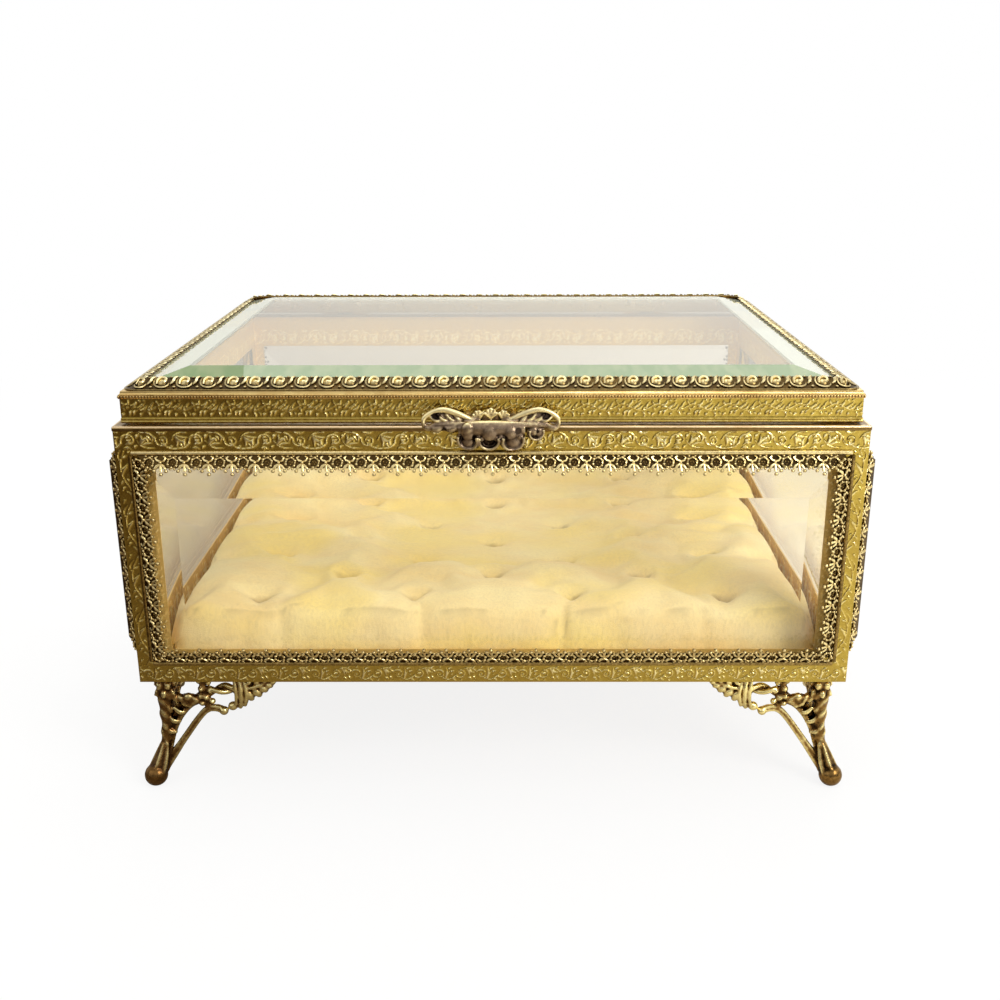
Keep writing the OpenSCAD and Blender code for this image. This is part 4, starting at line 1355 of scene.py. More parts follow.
@dataclass
class Liners:
    """The thin stamped inner frames, whose pattern shows from both sides."""

    casket: Casket
    finishes: Finishes
    face: float = -4.95
    thickness: float = 0.42
    opening: float = 9.2
    top_rail: float = 11.4
    sill: float = 8.7
    side_sill: float = 16.2
    step: float = 0.42

    def build(self) -> None:
        """Builds a liner inside each pane."""
        for side in Side:
            wall = self.casket.wall(side)
            node = f"{side.word}_liner"
            span = Span.of(node)
            half = span.high.x if side.long else (span.high.y - span.low.y) / 2
            low, high = span.low.z - self.casket.floor, span.high.z - self.casket.floor
            inner = wall.half - self.opening
            sill = self.sill if side.long else self.side_sill
            head = self.casket.frame_h - self.top_rail
            broad = running_scrolls(2 * half, self.top_rail - 5.4, 15.5)
            small = small_scrolls(2 * half, sill - low - 0.8, 11.0)
            stems = long_stems(head - sill, wall.half - inner - 0.8 - (wall.half - half), 15)

            def pattern(x: Points, y: Points) -> Points:
                """Height of the pattern at places on the liner."""
                over = broad.sample(x + half, y - head - 0.5)
                under = small.sample(x + half, y - low - 0.4)
                upright = stems.sample(y - sill, half - abs(x) - 0.4)
                height = np.where(y > head, over, np.where(y < sill, under, upright))
                hole = np.maximum(abs(x) - inner, np.maximum(sill - y, y - head))
                edge = np.minimum(np.minimum(half - abs(x), hole), np.minimum(y - low, high - y))
                return height * ramp(edge, 0.1, 0.6)

            sheet = StampedSheet(
                xs=split_lines(-half, -inner, inner, half, self.step),
                ys=split_lines(low, sill, head, high, self.step),
                window=(-inner, inner, sill, head),
                rise=pattern,
                face=self.face,
                thickness=self.thickness,
                height=0.28,
                sunk=0.3,
                twin=True,
            )
            mesh = sheet.mesh(node, wall)
            dress(mesh, self.finishes.liner)
            add_piece(f"{side.word}_liner_sheet", mesh, "base", [node])


class Grower(Tree):
    """A geometry tree with named inputs, which ends in real geometry of one material."""

    def __init__(self, name: str, inputs: dict[str, str]) -> None:
        """Starts the tree.

        Args:
            name: Its name.
            inputs: The kind of each input, by the input's name.
        """
        super().__init__(bpy.data.node_groups.new(name, "GeometryNodeTree"))
        for word, kind in inputs.items():
            self.tree.interface.new_socket(word, in_out="INPUT", socket_type=f"NodeSocket{kind}")
        self.tree.interface.new_socket("Result", in_out="OUTPUT", socket_type="NodeSocketGeometry")
        self.given = self.add("NodeGroupInput").outputs

    def copies(self, unit: str, points: Socket, rotation: Socket) -> Socket:
        """Sets copies of the object of an input out on points."""
        info = self.set(self.add("GeometryNodeObjectInfo"), Object=self.given[unit])
        place = self.add("GeometryNodeInstanceOnPoints")
        self.set(place, Points=points, Instance=info.outputs["Geometry"], Rotation=rotation)
        return place.outputs[0]

    def finish(self, geometry: Socket, material: Material) -> bpy.types.NodeTree:
        """Ends the tree and returns it."""
        for kind in ("GeometryNodeRealizeInstances", "GeometryNodeSetMaterial", "NodeGroupOutput"):
            node = self.add(kind)
            self.feed(node.inputs[0], geometry)
            if kind == "GeometryNodeSetMaterial":
                self.set(node, Material=material)
            if node.outputs:
                geometry = node.outputs[0]
        return self.tree


def grown(name: str, base: Mesh, tree: bpy.types.NodeTree, values: dict[str, object]) -> Mesh:
    """Runs a geometry tree on a mesh.

    Args:
        name: Name of the result.
        base: The mesh that the tree starts from.
        tree: The tree.
        values: Value of each input, by the input's name.

    Returns:
        The result as a plain mesh.
    """
    holder = new_object(name + "_row", base)
    row = holder.modifiers.new("row", "NODES")
    row.node_group = tree
    for item in tree.interface.items_tree:
        if item.in_out == "INPUT" and item.name in values:
            row[item.identifier] = values[item.name]
    mesh = evaluated_mesh(holder)
    mesh.name = name
    return mesh


def row_tree(material: Material) -> bpy.types.NodeTree:
    """Builds the node tree that sets two units out along a strip.

    Args:
        material: The metal of the whole strip.

    Returns:
        A tree whose inputs are the units, how many there are, where the first stands, the pitch,
        how far a unit may be turned by hand work, and the seed for that.
    """
    units = ("First", "Second")
    inputs = {"Strip": "Geometry"}
    for unit in units:
        inputs |= {f"{unit} Unit": "Object", f"{unit} Count": "Int", f"{unit} Start": "Vector"}
    t = Grower("ornament_row", inputs | {"Pitch": "Float", "Wobble": "Float", "Seed": "Int"})
    join = t.add("GeometryNodeJoinGeometry")
    t.feed(join.inputs[0], t.given["Strip"])
    offset = t.set(t.add("ShaderNodeCombineXYZ"), X=t.given["Pitch"]).outputs[0]
    swing = t.set(t.add("ShaderNodeCombineXYZ"), Z=t.given["Wobble"]).outputs[0]
    back = t.set(t.add("ShaderNodeVectorMath", operation="SCALE"), Scale=-1)
    t.feed(back.inputs[0], swing)
    for unit in units:
        row = t.add("GeometryNodeMeshLine", mode="OFFSET")
        t.set(row, Count=t.given[f"{unit} Count"], Start_Location=t.given[f"{unit} Start"], Offset=offset)
        turn = t.add("FunctionNodeRandomValue", data_type="FLOAT_VECTOR")
        t.set(turn, Min=back.outputs[0], Max=swing, Seed=t.given["Seed"])
        t.feed(join.inputs[0], t.copies(f"{unit} Unit", row.outputs[0], turn.outputs[0]))
    return t.finish(join.outputs[0], material)


@dataclass
class OrnamentRow:
    """A strip of metal with two units that repeat along it in turn, in millimetres."""

    tree: bpy.types.NodeTree
    first: Object
    second: Object
    pitch: float
    wobble: float

    def mesh(self, name: str, strip: Shape, counts: tuple[int, int], seed: int, shine: float) -> Mesh:
        """Sets the units out along a strip.

        Args:
            name: Name of the mesh.
            strip: The rail and backing that they stand on.
            counts: How many there are of the first unit and of the second, both centred on the strip.
            seed: Seed of the hand-set look.
            shine: How bright its rail is, as painted light.

        Returns:
            A plain mesh in metres, in the strip's axes.
        """
        base = strip.mesh(name)
        set_relief(base, strip_shine(strip, shine))
        starts = [(-(count - 1) / 2 * self.pitch * MM, 0.0, 0.0) for count in counts]
        return grown(name, base, self.tree, {
            "First Unit": self.first, "First Count": counts[0], "First Start": starts[0],
            "Second Unit": self.second, "Second Count": counts[1], "Second Start": starts[1],
            "Pitch": self.pitch * MM, "Wobble": self.wobble, "Seed": seed,
        })


def strip_shine(strip: Shape, shine: float) -> Points:
    """Painted light of a strip's points: its rail's own level, and on its backing bright behind and dark in
    front, where the dark face paints shade into the piercings.
    """
    rail, backing = strip.points
    half = len(backing) // 2
    return np.concatenate([np.full(len(rail), shine), np.full(half, 0.9), np.full(half, 0.0)])


def unit_object(name: str, shape: Shape, shine: Points) -> Object:
    """Makes a unit to repeat.

    Args:
        name: Name of the unit.
        shape: Its forms.
        shine: How bright each of its points is.

    Returns:
        An object that is removed once its rows are built.
    """
    mesh = shape.mesh(name)
    set_relief(mesh, shine)
    mesh.shade_smooth()
    return new_object(name, mesh)


@dataclass(frozen=True)
class Flare:
    """How a strip stands off its wall: its angle, the depth of its backing, and its units' length."""

    angle: float
    scroll: float
    stretch: float


@dataclass
class Edgings:
    """The pierced strips round the windows: a smooth rail, rings, and three-pointed drops."""

    casket: Casket
    finishes: Finishes
    inset: float = 4.6
    upright_inset: float = 3.5
    flare: Flare = Flare(24, 3.5, 1.0)
    side_flare: Flare = Flare(50, 5.7, 0.84)
    sill_flare: Flare = Flare(60, 3.2, 0.6)
    rail_h: float = 1.4
    rail_out: float = 0.9
    low: float = 5.4
    high: float = 69.3
    pitch: float = 6.35
    lift: float = 0.14
    sheet: float = 0.25
    gap: float = 0.05
    tuck: float = 0.2
    draws: tuple[int, int, int, int] = (0, 5, 6, 1)

    @staticmethod
    def drop() -> Shape:
        """A drop: a heart of two curls, and under it a diamond between two petals that end in balls."""
        s, out = Shape(), (0, 0, 1)
        s.tube([(0, -2.2, 0.5, 0.3), (0.1, -3.4, 0.6, 0.4), (0.2, -4.4, 0.55, 0.55)], 5, 0, 0.8, out)
        s.ball((0.3, -5.2, 0.5), (0.62, 0.58, 0.48), 6, 3)
        s.ball((0, -2.0, 0.7), (0.5, 0.5, 0.5), 6, 3)
        for k in (-1, 1):
            petal = [(0.1 * k, -2.4, 0.5, 0.28), (0.9 * k, -3.0, 0.65, 0.42), (1.45 * k, -3.8, 0.55, 0.34)]
            s.tube(petal, 5, 0, 0.9, out)
            s.ball((1.6 * k, -4.3, 0.5), (0.6, 0.56, 0.46), 6, 3)
            curl = [(0, -1.7, 0.5, 0.32), (0.9 * k, -1.5, 0.65, 0.42), (1.45 * k, -0.8, 0.6, 0.38)]
            s.tube([*curl, (0.8 * k, -0.25, 0.5, 0.3)], 5, 0, 1, out)
        return s

    @staticmethod
    def ring() -> Shape:
        """A ring round a dark hollow with a small flower in it, a knob over it and a bead under it."""
        s, out = Shape(), (0, 0, 1)
        arc = [(*p, 0.45, 0.32) for p in spiral((0, -2.0), 1.4, 1.2, -150, 330)]
        s.tube(arc, 5, 9, 1, out)
        for k in range(6):
            a = math.radians(60 * k + 20)
            s.ball((1.35 * math.cos(a), -2.0 + 1.35 * math.sin(a), 0.6), (0.5, 0.42, 0.4), 5, 3)
        for x, y in ((-0.35, -1.75), (0.4, -1.9), (0, -2.5)):
            s.ball((x, y, 0.3), (0.3, 0.3, 0.26), 5, 3)
        for k in (-1, 1):
            s.ball((0.8 * k, -0.3, 0.45), (0.5, 0.36, 0.4), 5, 3)
            s.ball((0.55 * k, -3.75, 0.5), (0.46, 0.4, 0.4), 5, 3)
        return s

    def strip(self, rail_len: float, half: float, flare: Flare) -> Shape:
        """The rail and the backing of one strip, in the strip's axes; the backing is dark in front, as
        painted shade in the piercings.

        Args:
            rail_len: Length of the rail.
            half: Half the length of the backing at the rail.
            flare: How far the backing leans out, and how deep it is.

        Returns:
            Both forms, the rail first.
        """
        s = Shape()
        turn = np.radians(np.linspace(0, 180, 9))
        ring = [(-self.rail_h / 2 * (1 - math.cos(a)), self.rail_out * math.sin(a)) for a in turn]
        n = len(ring)
        points = np.array([(x, y, z) for x in (-rail_len / 2, rail_len / 2) for y, z in ring])
        s.add(points, [*woven(2, n, False), list(range(n))[::-1], [n + k for k in range(n)]])
        low = flare.scroll
        flat = half - low * math.cos(math.radians(flare.angle))
        outline = [(-half, self.tuck), (half, self.tuck), (flat, -low), (-flat, -low)]
        sheet = np.array([(x, y, z) for z in (0, self.sheet) for x, y in outline])
        faces = [[0, 1, 2, 3], [7, 6, 5, 4], [0, 4, 5, 1], [1, 5, 6, 2], [2, 6, 7, 3], [3, 7, 4, 0]]
        s.add(self.leaned(sheet, flare), faces)
        return s

    def leaned(self, points: Points, flare: Flare) -> Points:
        """Flares points of the strip away from the wall below its rail."""
        sin, cos = math.sin(math.radians(flare.angle)), math.cos(math.radians(flare.angle))
        x, y, z = points.T
        return np.stack([x, y * cos + z * sin - self.rail_h, z * cos - y * sin + self.lift], 1)

    def count(self, half: float, flare: Flare) -> int:
        """How many drops a strip holds."""
        flat = half - flare.scroll * math.cos(math.radians(flare.angle))
        return math.floor((2 * flat - 0.75 * self.pitch) / self.pitch) + 1

    def build(self) -> None:
        """Builds four strips round each window."""
        tree = row_tree(self.finishes.edging)
        rows = {}
        units = []
        for flare in (self.flare, self.side_flare, self.sill_flare):
            pair = []
            for name, shape in (("drop_unit", self.drop()), ("ring_unit", self.ring())):
                long = [self.leaned(p * [1, flare.stretch, 1], flare) for p in shape.points]
                flared = Shape(long, shape.faces, shape.count)
                pair.append(unit_object(name, flared, ramp(np.vstack(shape.points)[:, 2], 0.2, 1.0)))
            rows[flare] = OrnamentRow(tree, *pair, self.pitch, math.radians(1.5))
            units += pair
        for side in Side:
            self._round_window(side, rows)
        for unit in units:
            bpy.data.objects.remove(unit)

    def _round_window(self, side: Side, rows: dict[Flare, OrnamentRow]) -> None:
        """Builds the four strips round one window.

        Args:
            side: The wall that the window is in.
            rows: The row of units for each flare.
        """
        wall = self.casket.wall(side)
        flare, foot = (self.flare, self.flare) if side.long else (self.side_flare, self.sill_flare)
        upright = self.high - self.low - 2 * (self.rail_h + self.gap)
        middle = (self.low + self.high) / 2
        along = 2 * (wall.half - self.inset)
        across = along / 2 - self.rail_h - self.gap
        beside = wall.half - self.upright_inset
        tall = upright / 2 - self.gap
        left, right = ENDS[side]
        # Each strip's sixth number is its rail's painted light: bright on the top rail, which faces up to the
        # light, and low, as painted shade, on the bottom and upright rails.
        strips = (
            ("top", 0, (0, self.high), along, across, 0.85, 0, flare),
            ("bottom", 180, (0, self.low), along, across, 0.4, 0, foot),
            (left, 90, (-beside, middle), upright, tall, 0.25, 1, flare),
            (right, -90, (beside, middle), upright, tall, 0.25, 1, flare),
        )
        for draw, (word, turn, spot, length, half, shine, extra, flare) in zip(self.draws, strips):
            name = f"{side.word}_{word}_edging"
            many = self.count(half, flare) + extra
            seed = len(strips) * list(Side).index(side) + draw
            mesh = rows[flare].mesh(name, self.strip(length, half, flare), (many, many + 1), seed, shine)
            local = Matrix.Translation((*spot, 0)) @ Matrix.Rotation(math.radians(turn), 4, "Z")
            mesh.transform(Matrix.Scale(MM, 4) @ wall.matrix() @ local @ Matrix.Scale(1 / MM, 4))
            dress(mesh, self.finishes.edging, 70)
            add_piece(f"{name}_strip", mesh, "base", [name])


def swept_ring(
    half_x: float, half_y: float, profile: Sequence[Station], y_mid: float, round_r: float
) -> Shape:
    """Sweeps a closed profile round a rectangle whose corners are slightly rounded.

    Args:
        half_x: Half the rectangle's width.
        half_y: Half its depth.
        profile: Points (distance in, height), running up the outside.
        y_mid: Where its middle lies.
        round_r: Radius of the corners at the rectangle itself.

    Returns:
        The closed ring.
    """
    steps = 4
    frames = []
    for k, (sx, sy) in enumerate(((1, -1), (1, 1), (-1, 1), (-1, -1))):
        for i in range(steps + 1):
            a = math.radians(-90 + 90 * k + 90 * i / steps)
            frames.append((sx * (half_x - round_r), sy * (half_y - round_r), math.cos(a), math.sin(a)))
    n, m = len(profile), len(frames)
    points = []
    for cx, cy, ca, sa in frames:
        for inset, z in profile:
            r = round_r - inset
            if r >= 0:
                points.append((cx + r * ca, cy + r * sa + y_mid, z))
            else:
                points.append((cx + r * math.copysign(1, cx), cy + r * math.copysign(1, cy) + y_mid, z))
    s = Shape()
    s.add(np.array(points), [[a, d, c, b] for a, b, c, d in woven(m, n)])
    return s


def merge_close(mesh: Mesh, reach: float = 1e-7) -> None:
    """Merges points that coincide, and drops the faces that vanish with them."""
    work = bmesh.new()
    work.from_mesh(mesh)
    bmesh.ops.remove_doubles(work, verts=work.verts, dist=reach)
    work.to_mesh(mesh)
    work.free()


@dataclass
class LidBand:
    """The stamped band round the lid, with two smooth lines along its foot."""

    casket: Casket
    finishes: Finishes
    sheet: float = 0.8
    foot: float = 1.55
    pitch: float = 9.6
    step: float = 0.26
    height: float = 0.3
    sunk: float = 0.12
    foot_shine: float = 0.4
    head: float = 0.2
    rounds: tuple[Station, ...] = ((0.42, 0.36, 1.0), (1.12, 0.26, 0.8))

    def build(self) -> None:
        """Builds the band as one closed ring, mitred at its corners."""
        low, high = self.casket.band.low.z, self.casket.band.high.z
        rows = lines(low, high, self.step)
        tall = high - low - self.foot - self.head
        patterns = [leaf_sprays(2 * h, tall, self.pitch) for h in self.casket.lid_half]
        rings, shares = [], []
        for side in Side:
            wall = self.casket.lid_side(side)
            half, pattern = wall.half, patterns[0 if side.long else 1]
            for x in lines(-half, half, self.step)[:-1]:
                across = np.full(len(rows), x)
                share = pattern.sample(across + half, rows - low - self.foot) * ramp(half - abs(x), 0.05, 0.5)
                up = rows - low
                share = np.maximum(share, np.where(up < self.foot, self._lines(up), 0))
                inset = np.append(self.sunk - self.height * share, [self.sheet, self.sheet])
                z = np.append(rows, [high, low])
                rings.append(wall.put(np.stack([np.clip(x, inset - half, half - inset), z, -inset], 1)))
                shares.append(np.append(np.where(up < self.foot, self.foot_shine * share, share), [0, 0]))
        quads = np.array(woven(len(rings), len(rows) + 2))[:, [0, 3, 2, 1]]
        mesh = build_mesh("lid_band", np.vstack(rings), quads)
        set_relief(mesh, np.concatenate(shares))
        dress(mesh, self.finishes.sheet)
        add_piece("lid_stamped_band", mesh, "lid", ["lid_band"])

    def _lines(self, up: Points) -> Points:
        """Height of the two smooth lines, each with its middle, half width and height."""
        return np.max([
            rise * np.sqrt(np.clip(1 - ((up - middle) / half) ** 2, 0, 1))
            for middle, half, rise in self.rounds
        ], 0)


def trail_tree(material: Material) -> bpy.types.NodeTree:
    """Builds the node tree that sets one unit out along a closed trail.

    Args:
        material: The metal of the units.

    Returns:
        A tree whose inputs are the unit and its spacing.
    """
    t = Grower("trail_row", {"Trail": "Geometry", "Unit": "Object", "Spacing": "Float"})
    curve = t.add("GeometryNodeMeshToCurve")
    t.feed(curve.inputs[0], t.given["Trail"])
    even = t.add("GeometryNodeResampleCurve", mode="LENGTH")
    t.set(even, Curve=curve.outputs[0], Length=t.given["Spacing"])
    along = t.add("FunctionNodeAlignRotationToVector", axis="X")
    t.set(along, Vector=t.add("GeometryNodeInputTangent").outputs[0])
    return t.finish(t.copies("Unit", even.outputs[0], along.outputs[0]), material)


@dataclass
class Mouldings:
    """The base's smooth rim, and the lid's moulding with its row of beads."""

    casket: Casket
    finishes: Finishes
    rim_lip: float = 0.25
    rim_w: float = 6.4
    corner_r: float = 0.3
    ledge: float = 2.2
    bead_r: float = 0.44
    bead_gap: float = 0.82
    bead_up: float = 0.52

    def rim(self) -> None:
        """Builds the base's rim, which laps over the tops of the wall plates."""
        c = self.casket
        top, low, shoulder = c.rim.high.z, c.rim.low.z, c.floor + c.frame_h
        lip = -self.rim_lip
        profile = [
            (0.02, low), (lip + 0.06, low + 0.08), (lip, low + 0.3), (lip, low + 0.75),
            (lip + 0.12, top - 0.25),
            (lip + 0.35, top - 0.04), (0.4, top), (0.7, top), (self.rim_w, top), (self.rim_w, shoulder),
            (0.02, shoulder),
        ]
        mesh = swept_ring(c.half_w, c.half_d, profile, c.y_mid, self.corner_r).mesh("base_rim")
        merge_close(mesh)
        x, y, z = (mesh_points(mesh) / MM).T
        out = np.maximum(abs(x) - c.half_w, abs(y - c.y_mid) - c.half_d)
        # Painted light and shade: only the lip's upper edge is bright; the flat top, which lies in shade
        # under the lid, is dark, as is the rest of the rim.
        set_relief(mesh, ramp(z, top - 0.5, top - 0.2) * ramp(out, -0.65, -0.45))
        dress(mesh, self.finishes.rim, 40)
        add_piece("base_rim_moulding", mesh, "base", ["base_rim"])

    def moulding(self) -> None:
        """Builds the lid's moulding: a fillet, the beads' bed, a cove and a flat ledge."""
        span = Span.of("lid_moulding")
        low, high = span.low.z, span.high.z
        profile = [
            (0.05, low), (-0.33, low + 0.04), (-0.33, low + 0.16), (-0.02, low + 0.22), (-0.02, low + 0.82),
            (-0.3, low + 0.9), (-0.3, low + 1.02), (-0.05, low + 1.08), (0.14, low + 1.2), (0.26, low + 1.4),
            (0.34, low + 1.7), (0.36, high - 0.1), (0.4, high), (self.ledge, high), (self.ledge, low),
        ]
        ring = swept_ring(*self.casket.lid_half, profile, self.casket.y_mid, self.corner_r)
        mesh = ring.mesh("lid_moulding")
        merge_close(mesh)
        dress(mesh, self.finishes.smooth, 40)
        add_piece("lid_cove_moulding", mesh, "lid", ["lid_moulding"])
        self._beads(low + self.bead_up)

    def _beads(self, z: float) -> None:
        """Builds the row of beads along the moulding, at a height."""
        bead = Shape()
        bead.ball((0, 0, 0), (self.bead_r, self.bead_r, self.bead_r), 6, 4)
        unit = unit_object("bead", bead, 1 - abs(np.vstack(bead.points)[:, 0]) / self.bead_r)
        (half_x, half_y), y = self.casket.lid_half, self.casket.y_mid
        corners = [(-half_x, y - half_y), (half_x, y - half_y), (half_x, y + half_y), (-half_x, y + half_y)]
        trail = bpy.data.meshes.new("bead_trail")
        sides = [(k, (k + 1) % 4) for k in range(4)]
        trail.from_pydata([(a * MM, b * MM, z * MM) for a, b in corners], sides, [])
        values = {"Unit": unit, "Spacing": self.bead_gap * MM}
        beads = grown("lid_beads", trail, trail_tree(self.finishes.beads), values)
        bpy.data.objects.remove(unit)
        dress(beads, self.finishes.beads)
        add_piece("lid_bead_row", beads, "lid")

    def build(self) -> None:
        """Builds both mouldings."""
        self.rim()
        self.moulding()


@dataclass
class Gallery:
    """The pierced strips that lean in over the edge of the lid's pane, rounded at the lid's corners."""

    casket: Casket
    finishes: Finishes
    inset: float = 0.5
    length: float = 5.7
    lean: float = 58
    side_lean: float = 74
    side_rise: float = 0.6
    turn_from: float = 9
    turn_to: float = 1
    pitch: float = 3.2
    sheet: float = 0.22
    round_r: float = 4.6

    def leaned(self, points: Points, path: float, lean: float) -> Points:
        """Leans points of the strip inwards, near its ends by the same angle as the next strip."""
        meeting = (self.lean + self.side_lean) / 2
        x, y, z = points.T
        near = ramp(abs(x), path - self.turn_from, path - self.turn_to)
        a = np.radians(lean + (meeting - lean) * near)
        return np.stack([x, y * np.cos(a) + z * np.sin(a), z * np.cos(a) - y * np.sin(a)], 1)

    def bent(self, points: Points, half: float) -> Points:
        """Bends points near a strip's ends round the corners."""
        x, y, z = points.T
        straight = half - self.round_r
        angle = np.maximum(abs(x) - straight, 0) / self.round_r
        reach = self.round_r + z
        round_x = np.sign(x) * (straight + reach * np.sin(angle))
        round_z = reach * np.cos(angle) - self.round_r
        return np.stack([np.where(angle > 0, round_x, x), y, np.where(angle > 0, round_z, z)], 1)

    @staticmethod
    def rosette() -> Shape:
        """The bigger unit: a curl on a low dome, in a crescent that rises at one end."""
        s = Shape()
        s.ball((0.15, 3.2, 0.25), (1.35, 1.5, 0.5), 8, 4)
        curl = [
            (-1.1, 2.2, 0.5, 0.3), (-1.0, 3.6, 0.75, 0.4), (0, 4.5, 0.8, 0.44), (1.1, 4.0, 0.8, 0.4),
            (1.1, 2.9, 0.8, 0.36), (0.2, 2.7, 0.85, 0.4),
        ]
        s.tube(curl, 5, 10, 0.9, OUTWARDS)
        crescent = [
            (-1.5, 5.0, 0.3, 0.2), (-2.0, 3.6, 0.4, 0.28), (-1.6, 1.8, 0.4, 0.3), (0.1, 0.9, 0.45, 0.34),
            (1.7, 1.4, 0.4, 0.3), (2.1, 2.6, 0.35, 0.22),
        ]
        s.tube(crescent, 5, 11, 1, OUTWARDS)
        return s

    @staticmethod
    def square() -> Shape:
        """The smaller unit: a slanted leaf over a bud."""
        s = Shape()
        leaf = [(-0.7, 2.2, 0.35, 0.26), (0.1, 3.1, 0.65, 0.5), (0.2, 4.2, 0.6, 0.46), (0.9, 5.1, 0.4, 0.26)]
        s.tube(leaf, 5, 8, 0.9, OUTWARDS)
        s.ball((0.5, 1.2, 0.4), (0.5, 0.4, 0.34), 5, 3)
        s.ball((-0.9, 4.9, 0.35), (0.4, 0.36, 0.3), 5, 3)
        return s

    def strip(self, half: float) -> Shape:
        """The rail at the strip's foot, and its backing, dark in front as painted shade in the piercings,
        with columns enough to bend.
        """
        s = Shape()
        xs = split_lines(-half, self.round_r - half, half - self.round_r, half, 0.9)
        s.tube([(x, 0.15, 0.2, 0.28) for x in xs], 8, 0, 1, (0, 0, 1))
        n = len(xs)
        tip = self.length - 0.6
        corners = ((0, 0), (tip, 0), (tip, self.sheet), (0, self.sheet))
        sheet = np.array([(x, y, z) for y, z in corners for x in xs])
        faces = [
            [k * n + i, k * n + i + 1, (k + 1) % 4 * n + i + 1, (k + 1) % 4 * n + i][::-1]
            for k in range(4)
            for i in range(n - 1)
        ]
        ends = [[k * n for k in range(4)], [k * n + n - 1 for k in range(4)][::-1]]
        s.add(sheet, faces + ends)
        return s

    def build(self) -> None:
        """Builds one strip for each side of the lid."""
        units = [
            unit_object(name, shape, ramp(np.vstack(shape.points)[:, 2], 0.15, 0.9))
            for name, shape in (("rosette_unit", self.rosette()), ("square_unit", self.square()))
        ]
        low = Span.of("lid_moulding").high.z
        for seed, side in enumerate(Side):
            wall = self.casket.lid_side(side, self.inset, low)
            path = wall.half - self.round_r * (1 - math.pi / 4)
            firsts = 2 * round((2 * path / self.pitch - 1) / 4) + 1
            row = OrnamentRow(row_tree(self.finishes.gallery), *units, 2 * path / firsts, math.radians(5))
            name = f"lid_{side.word}_gallery"
            mesh = row.mesh(name, self.strip(path), (firsts, firsts - 1), seed, 0.4)
            lean, rise = (self.lean, 1) if side.long else (self.side_lean, self.side_rise)
            place = self.bent(self.leaned(mesh_points(mesh) / MM * [1, 1, rise], path, lean), wall.half)
            move_points(mesh, wall.put(place) * MM)
            dress(mesh, self.finishes.gallery, 60)
            add_piece(f"{name}_strip", mesh, "lid", [name])
        for unit in units:
            bpy.data.objects.remove(unit)


